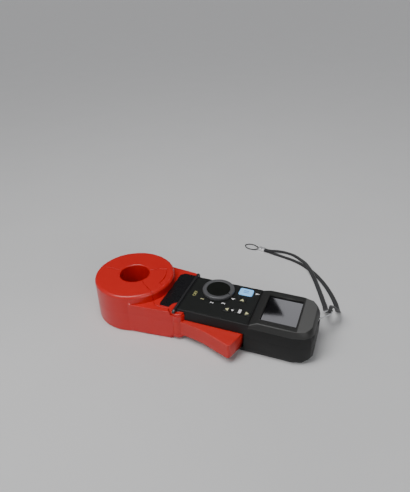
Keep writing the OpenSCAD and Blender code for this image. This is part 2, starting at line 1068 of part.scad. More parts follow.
module tie_screws() {
    color(steel)
        for (t = tie_points)
            translate([guard_back + wall + screw_head_t, t[0], t[1]])
                rotate([0, -90, 0])
                    screw(screw_r, screw_head_r, screw_head_t, tie_len);
}

// ---------------------------------------------------------------- housings

// Outline of the handle from above, inset by i, from x0 to the rounded end.
module handle_plan(i, x0) {
    w = half_w - i;
    e = handle_end - i;
    side = [[x0, w], [handle_end - 21, w], [handle_end - 10, w - 3], [e - 2.5, w - 8], [e, w - 14]];
    polygon(concat(
        side,
        [for (k = [len(side) - 1 : -1 : 0]) [side[k][0], -side[k][1]]]
    ));
}

module handle_layer(i, x0, z) {
    translate([0, 0, z])
        linear_extrude(eps)
            handle_plan(i, x0);
}

// The body under the key panel and the display frame, shrunk by s all round.
module handle_form(s, x0, top) {
    full_z = 4;
    hull() {
        handle_layer(back_inset + s, x0, back_z + s);
        handle_layer(s, x0, back_z + 7);
        handle_layer(s, x0, full_z);
        handle_layer(s + top_inset * (top - full_z) / (panel_top - full_z), x0, top - s - eps);
    }
}

module key_at(p) {
    translate([p[0], p[1], 0])
        children();
}

// Space that the knuckle, its ears and the trigger need inside the housings.
module trigger_room() {
    low = -trigger_back - 0.6;
    high = trigger_front + 0.6;
    translate([hinge_x, hinge_y, -knuckle_back - jaw_gap])
        cylinder(r = knuckle_r + jaw_gap + 0.2, h = knuckle_back + knuckle_front + 2 * jaw_gap);
    translate([hinge_x, hinge_y, inner_back])
        cylinder(r = ear_small_r + 0.2, h = inner_top - inner_back);
    translate([0, 0, low])
        linear_extrude(high - low)
            at_hinge()
                polygon([
                    [-2, -20], [trigger_len + 1.2, -20], [trigger_len + 1.2, 4],
                    [trigger_len - 2.5, trigger_len * sin(open_angle) + 2.5], [-2, 3]
                ]);
}

module housing_shell() {
    difference() {
        difference() {
            handle_form(0, guard_back, panel_top);
            translate([panel_end, -far, deck_top])
                cube(2 * far);
        }
        difference() {
            handle_form(wall, guard_back + wall, panel_top);
            translate([panel_end - step_wall, -far, deck_under])
                cube(2 * far);
        }
    }
}

module strap_block() {
    intersection() {
        handle_form(0.5, guard_back, panel_top);
        translate([strap_pin_x - 8, strap_pin_y - 10, seam_z])
            cube([30, 24, deck_top - seam_z]);
    }
}

module front_housing() {
    color(black)
        difference() {
            union() {
                intersection() {
                    housing_shell();
                    translate([0, -far, seam_z])
                        cube([2 * far, 2 * far, far]);
                }
                strap_block();
                for (p = housing_posts)
                    translate([p[0], p[1], seam_z])
                        cylinder(r = boss_r, h = (p[0] > panel_end ? deck_under : inner_top) - seam_z + eps);
                for (p = board_posts)
                    translate([p[0], p[1], board_top])
                        cylinder(r = boss_r - 0.5, h = inner_top - board_top + eps);
            }
            trigger_room();
            tie_holes();
            lead_hole();
            strap_notch();
            for (p = housing_posts)
                translate([p[0], p[1], seam_z - 1])
                    cylinder(r = screw_r + screw_gap, h = 8);
            for (p = board_posts)
                translate([p[0], p[1], board_top - 1])
                    cylinder(r = small_screw_r + screw_gap, h = 5);
            // Seat of the panel film, the shaft's bearing and the key openings
            translate([0, 0, panel_top - film_t])
                linear_extrude(far)
                    film_plan(0);
            translate([knob_x, knob_y, 0])
                cylinder(r = shaft_r + running_gap, h = far);
            translate([hold_pos[0], hold_pos[1], inner_top - 1])
                linear_extrude(far)
                    rounded(hold_len + 2 * key_gap, hold_w + 2 * key_gap, key_round);
            for (p = key_places)
                translate([p[0], p[1], inner_top - 1])
                    linear_extrude(far)
                        rounded(key_len + 2 * key_gap, key_w + 2 * key_gap, key_round);
            // Slot for the display flex
            translate([frame_start - 5.5, -flex_w / 2 - 0.5, deck_under - 1])
                cube([2.5, flex_w + 1, 10]);
        }
}

module strap_notch() {
    translate([strap_pin_x - eye_r - hook_wire_r - seat_gap, strap_pin_y - 7, hook_z - notch_half])
        cube([30, 17, 2 * notch_half]);
    translate([strap_pin_x, strap_pin_y, seam_z + 1.2])
        cylinder(r = strap_pin_r, h = deck_top - seam_z - 2.4);
}

// The battery tray is moulded into the back housing and is open at the back.
module battery_tray(grow) {
    translate([tray_in_start - grow, -tray_half - grow, back_z - 1])
        cube([tray_in_end - tray_in_start + 2 * grow, 2 * (tray_half + grow),
              tray_top - back_z + 1 + grow]);
}

module cover_room(g) {
    translate([cover_start - g, -cover_half - g, back_z - 1])
        cube([cover_end - cover_start + 2 * g, 2 * (cover_half + g), wall + 1]);
}

module back_housing() {
    color(black)
        difference() {
            union() {
                intersection() {
                    housing_shell();
                    translate([0, -far, seam_z - far])
                        cube([2 * far, 2 * far, far]);
                }
                intersection() {
                    handle_form(0.5, guard_back, panel_top);
                    battery_tray(tray_wall);
                }
                // Post of the cover screw and a land round the cover
                translate([cover_screw_x, 0, inner_back])
                    cylinder(r = boss_r + 0.4, h = 8);
                intersection() {
                    handle_form(0.5, guard_back, panel_top);
                    translate([tray_in_end, -10, inner_back])
                        cube([cover_end - tray_in_end + 2, 20, 1.6]);
                }
                for (p = housing_posts)
                    translate([p[0], p[1], inner_back - eps])
                        cylinder(r = boss_r, h = seam_z - inner_back + eps);
                // Rib behind the return spring
                translate([spring_x - 7, spring_seat_y, inner_back - eps])
                    cube([14, 2, seam_z - inner_back - 1]);
            }
            battery_tray(0);
            cover_room(cover_gap);
            trigger_room();
            tie_holes();
            lead_hole();
            translate([cover_screw_x, 0, inner_back - 1])
                cylinder(r = screw_r + screw_gap, h = 8);
            for (p = housing_posts)
                translate([p[0], p[1], back_z - 1]) {
                    cylinder(r = screw_r + screw_gap, h = far);
                    cylinder(r = screw_head_r + seat_gap, h = screw_head_t + 2);
                }
        }
}

module housing_screws() {
    color(steel)
        for (p = housing_posts)
            translate([p[0], p[1], back_z + 1])
                screw(screw_r, screw_head_r, screw_head_t, seam_z - back_z + 5);
}

// Outline of the printed film on the key panel, shrunk by i.
module film_plan(i) {
    half = half_w - top_inset - 1.4 - i;
    translate([guard_back + 1.5 + i, -half])
        square([panel_len - 3 - 2 * i, 2 * half]);
}

module panel_film() {
    color("black")
        translate([0, 0, panel_top - film_t])
            linear_extrude(film_t)
                difference() {
                    film_plan(0.15);
                    translate([knob_x, knob_y])
                        circle(r = shaft_r + seat_gap);
                    translate(hold_pos)
                        rounded(hold_len + 2 * key_gap, hold_w + 2 * key_gap, key_round);
                    for (p = key_places)
                        translate(p)
                            rounded(key_len + 2 * key_gap, key_w + 2 * key_gap, key_round);
                }
}

// ---------------------------------------------------------------- display

module display_frame() {
    color(dark_grey)
        difference() {
            hull() {
                handle_layer(top_inset * 0.6, panel_end, deck_top);
                handle_layer(top_inset * 0.8, panel_end, deck_top + 2);
                translate([0, 0, panel_top])
                    linear_extrude(eps)
                        handle_plan(top_inset + 0.3, panel_end);
                translate([0, 0, display_top - eps])
                    linear_extrude(eps)
                        handle_plan(frame_inset, frame_start);
            }
            translate([view_start, -view_w / 2, deck_top - 1])
                cube([view_len, view_w, far]);
            translate([view_start - lens_margin, -view_w / 2 - lens_margin, deck_top - 1])
                cube([view_len + 2 * lens_margin, view_w + 2 * lens_margin, lens_top - deck_top + 1]);
            // Way for the display flex
            translate([frame_start - 5.5, -flex_w / 2 - 0.5, deck_top - 1])
                cube([8, flex_w + 1, 2]);
        }
}

module display_lens() {
    g = 0.15;
    color([0.3, 0.3, 0.34])
        translate([view_start - lens_margin + g, -view_w / 2 - lens_margin + g, lens_base])
            cube([view_len + 2 * (lens_margin - g), view_w + 2 * (lens_margin - g), lens_t]);
}

module oled_module() {
    g = 0.3;
    color([0.1, 0.12, 0.12])
        translate([view_start - lens_margin + g, -view_w / 2 - lens_margin + g, deck_top])
            cube([view_len + 2 * (lens_margin - g), view_w + 2 * (lens_margin - g), lens_base - deck_top]);
}

module display_flex() {
    x = frame_start - 4.5;
    color("darkorange")
        translate([0, -flex_w / 2, 0]) {
            translate([x, 0, deck_top + flex_t])
                cube([view_start - lens_margin + 0.3 - x, flex_w, flex_t]);
            translate([x, 0, board_top])
                cube([flex_t, flex_w, deck_top + 2 * flex_t - board_top]);
            translate([board_end - flex_lap, 0, board_top])
                cube([x + flex_t - board_end + flex_lap, flex_w, flex_t]);
        }
}

// ---------------------------------------------------------------- board and what is on it

module main_board() {
    color("darkgreen")
        difference() {
            translate([board_start, -board_half, board_top - board_t])
                cube([board_end - board_start, 2 * board_half, board_t]);
            for (p = housing_posts)
                translate([p[0], p[1], -far])
                    cylinder(r = boss_r + seat_gap, h = 2 * far);
            for (p = board_posts)
                translate([p[0], p[1], -far])
                    cylinder(r = small_screw_r + screw_gap, h = 2 * far);
            // The knuckle stands beside the board's corner
            translate([hinge_x, hinge_y, -far])
                cylinder(r = ear_r, h = 2 * far);
        }
}

module board_screws() {
    color(steel)
        for (p = board_posts)
            translate([p[0], p[1], board_top - board_t - small_head_t])
                screw(small_screw_r, small_head_r, small_head_t, board_t + small_bite);
}

// Each chip: distance from the board's start, its near side as a share of the
// board's half width, its length and its width.
chips = [[17, 0.33, 10, 10], [17, 0.87, 7, 5], [32, 0.97, 11, 6], [4, 0.29, 6, 5]];
chip_t = 1.4;

module board_chips() {
    color([0.12, 0.12, 0.13])
        for (c = chips)
            translate([board_start + c[0], -c[1] * board_half, board_top])
                cube([c[2], c[3], chip_t]);
}

module lead_connector() {
    width = 5.2;
    height = 3.4;
    socket = 0.6;
    color("ivory")
        difference() {
            translate([board_start, lead_y - width / 2, board_top])
                cube([4.2, width, height]);
            translate([board_start - 1, lead_y - width / 2 + socket, board_top + 0.4])
                cube([2, width - 2 * socket, height - 2 * socket]);
        }
}

module buzzer() {
    color([0.1, 0.1, 0.1])
        translate([board_start + 34, 17, board_top - board_t - 4])
            cylinder(r = 6, h = 4);
}

// ---------------------------------------------------------------- selector

module selector_stator() {
    color("gold")
        translate([knob_x, knob_y, board_top])
            difference() {
                cylinder(r = rotor_r + 1, h = stator_t);
                translate([0, 0, -1])
                    cylinder(r = shaft_r + 0.5, h = far);
            }
}

module selector_shaft() {
    low = board_top + seat_gap;
    color("ivory")
        translate([knob_x, knob_y, low]) {
            cylinder(r = shaft_r, h = knob_base + 1.5 - low);
            translate([0, 0, stator_t])
                cylinder(r = rotor_r, h = rotor_t);
        }
}

module selector_clip() {
    color(steel)
        translate([knob_x, knob_y, inner_top - seat_gap - clip_t])
            difference() {
                cylinder(r = shaft_r + 2.2, h = clip_t);
                translate([0, 0, -1])
                    cylinder(r = shaft_r, h = far);
                translate([0, -shaft_r * 0.5, -1])
                    cube([far, shaft_r, far]);
            }
}

module selector_knob() {
    color("dimgray")
        translate([knob_x, knob_y, knob_base])
            difference() {
                rotate_extrude($fn = 96)
                    polygon([
                        [0, 0], [knob_r, 0], [knob_r, knob_top - knob_base - 1.4],
                        [knob_r - 0.4, knob_top - knob_base - 0.6],
                        [knob_r - 1.2, knob_top - knob_base],
                        [0, knob_top - knob_base]
                    ]);
                translate([0, 0, knob_top - knob_base - disc_drop - 0.8])
                    cylinder(r = disc_r, h = far, $fn = 96);
                translate([0, 0, -1])
                    cylinder(r = shaft_r, h = 2.5);
                // Finger grooves round the skirt
                for (a = [0 : 15 : 345])
                    rotate(a)
                        translate([knob_r + 0.5, 0, -1])
                            cylinder(r = 1, h = 3.4, $fn = 24);
            }
}

module selector_disc() {
    color(black)
        translate([knob_x, knob_y, knob_top - disc_drop - 0.8])
            cylinder(r = disc_r - 0.1, h = 0.8, $fn = 96);
}

// ---------------------------------------------------------------- keys

module key_cap(l, w) {
    translate([0, 0, key_flange_top - eps])
        linear_extrude(key_top - key_flange_top + eps)
            rounded(l, w, key_round - key_gap);
    translate([0, 0, key_flange_top - key_flange_t])
        linear_extrude(key_flange_t)
            rounded(l, w + 2 * (key_gap + key_rim), key_round - key_gap);
}

module key_hold() {
    color("lightskyblue")
        key_at(hold_pos)
            key_cap(hold_len, hold_w);
}

module key_up() {
    color(black)
        key_at(key_places[0])
            key_cap(key_len, key_w);
}

module key_left() {
    color(black)
        key_at(key_places[1])
            key_cap(key_len, key_w);
}

module key_right() {
    color(black)
        key_at(key_places[2])
            key_cap(key_len, key_w);
}

module key_enter() {
    color(black)
        key_at(key_places[3])
            key_cap(key_len, key_w);
}

// Silicone mat on the board, with a dome under each key.
module keypad_mat() {
    color("gainsboro")
        difference() {
            union() {
                for (p = concat([hold_pos], key_places))
                    key_at(p)
                        translate([0, 0, board_top]) {
                            cylinder(r = dome_r + 2, h = mat_t);
                            cylinder(r = dome_r,
                                     h = key_flange_top - key_flange_t - seat_gap - board_top);
                        }
                translate([key_places[1][0], key_places[1][1] - mat_bar / 2, board_top])
                    cube([key_places[2][0] - key_places[1][0], mat_bar, mat_t]);
                translate([key_places[3][0] - mat_bar / 2, key_places[3][1], board_top])
                    cube([mat_bar, hold_pos[1] - key_places[3][1], mat_t]);
            }
            for (p = board_posts)
                translate([p[0], p[1], -far])
                    cylinder(r = boss_r + seat_gap, h = 2 * far);
        }
}

// ---------------------------------------------------------------- batteries

module cell_at(k) {
    translate([0, (k - (cell_count - 1) / 2) * cell_pitch, cell_z])
        children();
}

module battery_cells() {
    color("slategray")
        for (k = [0 : cell_count - 1])
            cell_at(k)
                translate([cell_start + (k % 2) * cell_len, 0, 0])
                    rotate([0, 90 - 180 * (k % 2), 0]) {
                        cylinder(r = cell_r, h = cell_len - nub_len);
                        cylinder(r = 2.7, h = cell_len);
                    }
}

module battery_contacts() {
    plate = 9;
    color(steel)
        for (k = [0 : cell_count - 1])
            cell_at(k)
                for (e = [0, 1])
                    translate([e == 0 ? tray_in_start : tray_in_end, 0, 0])
                        mirror([e, 0, 0]) {
                            translate([0, -plate / 2, -plate / 2])
                                cube([contact_t, plate, plate]);
                            rotate([0, 90, 0])
                                cylinder(r = 2.2, h = contact_t + contact_bump);
                        }
}

module battery_cover() {
    color(black)
        difference() {
            // The handle's rounded end trims the far corners
            intersection() {
                handle_form(0, guard_back, panel_top);
                translate([cover_start, -cover_half, back_z - 1])
                    cube([cover_end - cover_start, 2 * cover_half, wall + 1]);
            }
            translate([cover_screw_x, 0, back_z - 1])
                cylinder(r = screw_r + screw_gap, h = wall + 2);
            translate([cover_screw_x, 0, back_z - 1])
                cylinder(r = screw_head_r + seat_gap, h = screw_head_t - 0.6 + 1);
            // Finger ribs
            for (k = [0 : 4])
                translate([cover_start + 4 + 2.4 * k, -10, back_z - 1])
                    cube([1.2, 20, 1.5]);
        }
}

module cover_screw() {
    color(steel)
        translate([cover_screw_x, 0, back_z + 0.2])
            screw(screw_r, screw_head_r, screw_head_t - 0.8, 7);
}

// ---------------------------------------------------------------- strap

module strap_pin() {
    color(steel)
        translate([strap_pin_x, strap_pin_y, seam_z + 1.2])
            cylinder(r = strap_pin_r, h = deck_top - seam_z - 2.4, $fn = 32);
}

// Leg end and bend centre of the hook, from its pin
hook_tip = [
    strap_pin_x + (eye_r + hook_leg) * cos(hook_dir),
    strap_pin_y + (eye_r + hook_leg) * sin(hook_dir)
];
bend_centre = [
    hook_tip[0] - hook_bend_r * sin(hook_dir),
    hook_tip[1] + hook_bend_r * cos(hook_dir)
];
bight_dir = hook_dir + bight_angle;
bight_at = [
    bend_centre[0] + hook_bend_r * cos(bight_dir),
    bend_centre[1] + hook_bend_r * sin(bight_dir)
];
bight_r = hook_wire_r + bight_gap + strap_t / 2;

module strap_hook() {
    pin = [strap_pin_x, strap_pin_y, hook_z];
    along = [cos(hook_dir), sin(hook_dir), 0];
    centre = [bend_centre[0], bend_centre[1], hook_z];
    leg = [for (k = [0 : 2]) pin + along * (eye_r + hook_leg * k / 3)];
    bend = [for (a = [0 : 15 : 180])
        centre + hook_bend_r * [cos(hook_dir - 90 + a), sin(hook_dir - 90 + a), 0]];
    back = [for (k = [1, 2]) bend[len(bend) - 1] - along * hook_return * k / 2];
    color(steel) {
        translate(pin)
            rotate_extrude($fn = 48)
                translate([eye_r, 0])
                    circle(r = hook_wire_r, $fn = 24);
        tube(concat(leg, bend, back), 2 * hook_wire_r, 2 * hook_wire_r, 10);
    }
}

// The braid's fold round the hook's wire.
module strap_bight() {
    color(black)
        translate([bight_at[0], bight_at[1], hook_z])
            rotate(bight_dir)
                rotate([90, 0, 0])
                    rotate(90)
                        translate([0, 0, -bight_w / 2])
                            rotate_extrude(angle = 180, $fn = 48)
                                translate([bight_r - strap_t / 2, 0])
                                    square([strap_t, bight_w]);
}

// Each point of a route is [x, y, height above the place where the braid rests].
floor_z = back_z + strap_t / 2 + 0.1;
outer_route = [
    [229.5, 41, 28], [233, 46, 22.5], [235.5, 52, 15.5], [236.5, 59, 8.5], [236, 66, 2.8],
    [234.5, 74, 0], [231, 85, 0], [225, 98.5, 0], [217.5, 112.5, 0], [208, 127, 0],
    [197.5, 140, 0], [186, 150.5, 0], [174, 159, 0], [161, 165, 0], [147.5, 169, 0],
    [136, 172, 0], [126.5, 174.9, 0]
];
inner_route = [
    [226, 42, 21], [224.5, 47, 15.5], [224, 53, 9], [223, 60, 3.6], [221.5, 67, 0.6],
    [219.5, 75, 0], [215.5, 85.5, 0], [211, 97.5, 0], [206, 110, 0], [201.5, 121, 0.2],
    [196.5, 131, 1.5], [191.5, 140.5, 2.4], [186, 150.5, 2.4], [179.5, 161, 1.5], [171, 170.5, 0],
    [160.5, 178, 0], [148.5, 181.5, 0], [137.5, 180, 1.2], [128, 176.3, 2.2]
];

// Metal sleeve that gathers the two strands and the thin loop.
crimp_at = [117, 177];
crimp_turn = 168;
crimp_len = 9;
crimp_h = 4.8;
crimp_axis = [cos(crimp_turn), sin(crimp_turn), 0];

// A strand from the fold to the sleeve; side is 1 over the hook's wire and -1
// under it, and lift is its height over the floor inside the sleeve.
module strand(side, route, lift) {
    out = [cos(bight_dir), sin(bight_dir), 0];
    start = [bight_at[0], bight_at[1], hook_z + side * bight_r];
    laid = [for (p = route) p + [0, 0, floor_z]];
    sleeve = [crimp_at[0], crimp_at[1], floor_z + lift];
    color(black)
        tube(smooth(concat([start, start + 4 * out], laid, [sleeve - 4 * crimp_axis, sleeve]), 2),
             strap_w, strap_t, 8);
}

module strap_strand_outer() {
    strand(1, outer_route, 0);
}

module strap_strand_inner() {
    strand(-1, inner_route, strap_t + 0.2);
}

module strap_crimp() {
    color(steel)
        translate([crimp_at[0], crimp_at[1], back_z + 0.1])
            rotate(crimp_turn) {
                translate([0, -strap_w / 2 - 0.7, 0])
                    cube([crimp_len * 0.42, strap_w + 1.4, crimp_h]);
                translate([crimp_len * 0.42, -strap_w / 2, 0.6])
                    cube([crimp_len * 0.16, strap_w, crimp_h - 1.2]);
                translate([crimp_len * 0.58, -strap_w / 2 - 0.4, 0])
                    cube([crimp_len * 0.42, strap_w + 0.8, crimp_h]);
            }
}

loop_route = [
    [5, 4.4], [12, 6.6], [19, 5.4], [23, 0], [19, -5.4], [12, -6.6], [5, -4.4]
];

module strap_loop() {
    start = [0, 1.1, crimp_h / 2];
    route = concat(
        [start, start + [1.5, 0, 0]],
        [for (p = loop_route) [p[0], p[1], loop_r + 0.1]],
        [[1.5, -start[1], start[2]], [0, -start[1], start[2]]]
    );
    color(black)
        translate([crimp_at[0], crimp_at[1], 0])
            rotate(crimp_turn)
                translate([crimp_len, 0, back_z])
                    tube(smooth(route, 3), 2 * loop_r, 2 * loop_r, 8);
}

head_shell_front();
head_shell_back();
fixed_core_sense();
fixed_core_drive();
fixed_shield();
fixed_core_saddles();
sense_coil();
drive_coil();
coil_leads();
rating_plate();
hand_guard();
tie_screws();
head_screws();
moving_jaw_front();
moving_jaw_back();
moving_core_sense();
moving_core_drive();
moving_shield();
moving_core_saddles();
jaw_screws();
trigger();
trigger_dowels();
hinge_pin();
hinge_bush();
jaw_return_spring();
front_housing();
back_housing();
housing_screws();
panel_film();
display_frame();
display_lens();
oled_module();
display_flex();
main_board();
board_chips();
board_screws();
lead_connector();
buzzer();
selector_stator();
selector_shaft();
selector_clip();
selector_knob();
selector_disc();
keypad_mat();
key_hold();
key_up();
key_left();
key_right();
key_enter();
battery_cells();
battery_contacts();
battery_cover();
cover_screw();
strap_pin();
strap_hook();
strap_bight();
strap_strand_outer();
strap_strand_inner();
strap_crimp();
strap_loop();
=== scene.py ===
# Clamp-on earth resistance tester: a red jaw head, a black handle with a selector,
# keys and a display, and a wrist strap. Lengths are metres, in the part's own frame.
import heapq
import math

import bmesh
import bpy
from mathutils import Matrix, Vector
from mathutils.bvhtree import BVHTree
from mathutils.kdtree import KDTree

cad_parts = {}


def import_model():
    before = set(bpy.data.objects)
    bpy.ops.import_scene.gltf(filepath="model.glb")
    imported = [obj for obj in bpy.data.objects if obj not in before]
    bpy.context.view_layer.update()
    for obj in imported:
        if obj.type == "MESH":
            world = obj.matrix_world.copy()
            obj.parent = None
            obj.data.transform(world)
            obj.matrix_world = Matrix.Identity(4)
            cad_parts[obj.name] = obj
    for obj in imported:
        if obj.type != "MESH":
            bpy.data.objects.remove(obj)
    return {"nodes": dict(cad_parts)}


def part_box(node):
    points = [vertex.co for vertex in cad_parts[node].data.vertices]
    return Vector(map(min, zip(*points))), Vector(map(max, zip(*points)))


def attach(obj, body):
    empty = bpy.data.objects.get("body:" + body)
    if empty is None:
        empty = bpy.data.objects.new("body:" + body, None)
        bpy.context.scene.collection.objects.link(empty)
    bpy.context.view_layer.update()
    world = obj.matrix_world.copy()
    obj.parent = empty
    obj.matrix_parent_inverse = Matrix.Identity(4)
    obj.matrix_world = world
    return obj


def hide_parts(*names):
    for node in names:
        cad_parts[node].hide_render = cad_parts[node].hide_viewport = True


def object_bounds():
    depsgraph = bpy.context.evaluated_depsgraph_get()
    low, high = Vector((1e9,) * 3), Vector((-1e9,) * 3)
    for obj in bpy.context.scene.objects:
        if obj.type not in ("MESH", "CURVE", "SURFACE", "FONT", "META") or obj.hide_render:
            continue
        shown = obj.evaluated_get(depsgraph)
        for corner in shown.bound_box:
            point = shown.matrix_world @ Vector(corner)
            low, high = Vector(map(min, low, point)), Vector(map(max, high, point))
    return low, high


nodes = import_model()["nodes"]
solid_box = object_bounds()
MM = 0.001


# ---------------------------------------------------------------- camera
# The tester lies on its back and is seen from beyond its trigger side and from above.
# The camera looks a little towards the jaws and leans by a degree and a half.
def add_object(name, data):
    """A new object that holds the data, linked to the scene."""
    piece = bpy.data.objects.new(name, data)
    bpy.context.scene.collection.objects.link(piece)
    return piece


azimuth = math.radians(21.75)
elevation = math.radians(31.26)
roll = math.radians(-1.43)
eye = Vector((240.8, -373.6, 325.1)) * MM
back = Vector((math.sin(azimuth) * math.cos(elevation),
               -math.cos(azimuth) * math.cos(elevation), math.sin(elevation)))
level = Vector((math.cos(azimuth), math.sin(azimuth), 0))
rise = back.cross(level)
across = level * math.cos(roll) + rise * math.sin(roll)
upward = rise * math.cos(roll) - level * math.sin(roll)
camera = add_object("camera", bpy.data.cameras.new("camera"))
camera.data.lens = 32.14
camera.data.sensor_width = 36
camera.data.clip_start = 0.01
camera.matrix_world = Matrix((
    (across.x, upward.x, back.x, eye.x),
    (across.y, upward.y, back.y, eye.y),
    (across.z, upward.z, back.z, eye.z),
    (0, 0, 0, 1)))
bpy.context.scene.camera = camera


# ---------------------------------------------------------------- strap braid
# The wrist strap is a flat black polyester braid. It is folded round the hook's wire,
# its two strands cross once, and both end in a bright metal sleeve.
class Wire:
    """A socket of a shader, so that a pattern reads as sums and products of others."""

    def __init__(self, tree, socket):
        self.tree = tree
        self.socket = socket

    def node(self, kind, settings=None, sockets=None, out=0):
        """Adds a node: its settings are set first, then its sockets' values or links."""
        made = self.tree.nodes.new(kind)
        for name, value in (settings or {}).items():
            setattr(made, name, value)
        for name, value in (sockets or {}).items():
            if isinstance(value, Wire):
                self.tree.links.new(value.socket, made.inputs[name])
            else:
                made.inputs[name].default_value = value
        return Wire(self.tree, made.outputs[out])

    def maths(self, operation, first, second=0.0):
        return self.node("ShaderNodeMath", {"operation": operation}, {0: first, 1: second})

    def __add__(self, other):
        return self.maths("ADD", self, other)

    __radd__ = __add__

    def __sub__(self, other):
        return self.maths("SUBTRACT", self, other)

    def __rsub__(self, other):
        return self.maths("SUBTRACT", other, self)

    def __mul__(self, other):
        return self.maths("MULTIPLY", self, other)

    __rmul__ = __mul__

    def __truediv__(self, other):
        return self.maths("DIVIDE", self, other)

    def __gt__(self, other):
        return self.maths("GREATER_THAN", self, other)

    def sine(self):
        return self.maths("SINE", self)

    def clamped(self):
        return self.node("ShaderNodeClamp", sockets={0: self})

    def noise(self, scale, detail=2.0, roughness=0.5):
        """Cloudy noise over these coordinates, from 0 to 1."""
        return self.node("ShaderNodeTexNoise", sockets={
            "Vector": self, "Scale": scale, "Detail": detail, "Roughness": roughness})

    def part(self, axis):
        """One coordinate of a vector."""
        return self.node("ShaderNodeSeparateXYZ", sockets={0: self}, out="XYZ".index(axis))

    def between(self, low, high):
        """A colour that goes from low to high as this value goes from 0 to 1."""
        return self.node("ShaderNodeMix", {"data_type": "RGBA"},
                         {0: self, 6: low, 7: high}, out=2)

    def relief(self, depth, strength=1.0):
        """A bumped normal whose height is this value times the depth."""
        return self.node("ShaderNodeBump", sockets={
            "Strength": strength, "Distance": depth, "Height": self})

    def into(self, shader, name):
        self.tree.links.new(self.socket, shader.inputs[name])


def new_finish(name, source="Object"):
    """A new material, its coordinates and its Principled shader."""
    material = bpy.data.materials.new(name)
    material.use_nodes = True
    tree = material.node_tree
    coords = tree.nodes.new("ShaderNodeTexCoord")
    return material, Wire(tree, coords.outputs[source]), tree.nodes["Principled BSDF"]


def tone(red, green, blue):
    return (red, green, blue, 1.0)


def link_mesh(name, work, smooth=True):
    """Turns a bmesh into a linked object with smooth or flat faces."""
    mesh = bpy.data.meshes.new(name)
    for face in work.faces:
        face.smooth = smooth
    work.to_mesh(mesh)
    work.free()
    return add_object(name, mesh)


def dress(piece, node, body, material):
    """Gives a piece its finish and its body, and hides the node that it stands for, if any."""
    piece.data.materials.clear()
    piece.data.materials.append(material)
    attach(piece, body)
    if node:
        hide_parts(node)
    return piece


def sweep(name, path, section, sides, side=None):
    """A closed skin along a path. section(u, a) gives the offsets to the side and
    upwards at the distance u along the path and the angle a round it."""
    work = bmesh.new()
    uv = work.loops.layers.uv.new("UVMap")
    rings = []
    travelled = []
    run = 0.0
    for i, point in enumerate(path):
        ahead = path[min(i + 1, len(path) - 1)] - path[max(i - 1, 0)]
        tangent = ahead.normalized()
        out = side or Vector((-tangent.y, tangent.x, 0)).normalized()
        over = tangent.cross(out)
        run += (point - path[i - 1]).length if i else 0.0
        travelled.append(run)
        ring = []
        for k in range(sides):
            x, y = section(run, math.tau * (k + 0.5) / sides)
            ring.append(work.verts.new(point + out * x + over * y))
        rings.append(ring)
    for i in range(len(rings) - 1):
        for k in range(sides):
            n = (k + 1) % sides
            face = work.faces.new((rings[i][k], rings[i][n], rings[i + 1][n], rings[i + 1][k]))
            corners = ((travelled[i], k), (travelled[i], k + 1),
                       (travelled[i + 1], k + 1), (travelled[i + 1], k))
            for loop, (u, v) in zip(face.loops, corners):
                loop[uv].uv = (u, v / sides)
    work.faces.new(list(reversed(rings[0])))
    work.faces.new(rings[-1])
    return link_mesh(name, work)


def smooth_route(points, steps):
    """A smooth curve through all the points, with steps pieces between each two."""
    curve = []
    for i in range(len(points) - 1):
        a = points[max(i - 1, 0)]
        b, c = points[i], points[i + 1]
        d = points[min(i + 2, len(points) - 1)]
        for k in range(steps):
            u = k / steps
            curve.append(0.5 * (2 * b + (c - a) * u + (2 * a - 5 * b + 4 * c - d) * u * u
                                + (3 * b - a - 3 * c + d) * u * u * u))
    curve.append(points[-1])
    return curve


def heading(degrees):
    """A level direction, turned by so many degrees from the handle's axis."""
    return Vector((math.cos(math.radians(degrees)), math.sin(math.radians(degrees)), 0))


def lay_cord(path):
    """Measures a cord's length along its path; the length is not used."""
    length = sum((b - a).length for a, b in zip(path, path[1:]))


braid_w = 6 * MM
braid_t = 2.0 * MM
plait_len = 0.62 * MM
fold_w = 0.57 * braid_w
floor_z = solid_box[0].z
rest_z = floor_z + braid_t / 2 + 0.1 * MM

pin_low, pin_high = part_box("strap_pin")
pin_at = (pin_low + pin_high) / 2
hook_z = 4 * MM
hook_dir = 48
hook_wire = 0.7 * MM
hook_bend = 3.2 * MM
hook_leg = 18 * MM
hook_return = 6 * MM
hook_eye = 2.26 * MM
hook_along = heading(hook_dir)
hook_left = heading(hook_dir + 90)
hook_pin = Vector((pin_at.x, pin_at.y, hook_z))
hook_centre = hook_pin + hook_along * (hook_eye + hook_leg) + hook_left * hook_bend
fold_dir = hook_dir + 32
fold_out = heading(fold_dir)
fold_side = heading(fold_dir + 90)
fold_at = hook_centre + fold_out * hook_bend
fold_r = hook_wire + 0.4 * MM + braid_t / 2

sleeve_at = Vector((117, 177, 0)) * MM
sleeve_dir = 168
sleeve_along = heading(sleeve_dir)
sleeve_len = 9 * MM
sleeve_h = 4.8 * MM

outer_route = [
    (229.5, 41, 28), (233, 46, 22.5), (235.5, 52, 15.5), (236.5, 59, 8.5), (236, 66, 2.8),
    (234.5, 74, 0), (231, 85, 0), (225, 98.5, 0), (217.5, 112.5, 0), (208, 127, 0),
    (197.5, 140, 0), (186, 150.5, 0), (174, 159, 0), (161, 165, 0), (147.5, 169, 0),
    (136, 172, 0), (126.5, 174.9, 0)]
inner_route = [
    (226, 42, 21), (224.5, 47, 15.5), (224, 53, 9), (223, 60, 3.6), (221.5, 67, 0.6),
    (219.5, 75, 0), (215.5, 85.5, 0), (211, 97.5, 0), (206, 110, 0), (201.5, 121, 0.2),
    (196.5, 131, 1.5), (191.5, 140.5, 2.4), (186, 150.5, 2.4), (179.5, 161, 1.5),
    (171, 170.5, 0), (160.5, 178, 0), (148.5, 181.5, 0), (137.5, 180, 1.2), (128, 176.3, 2.2)]


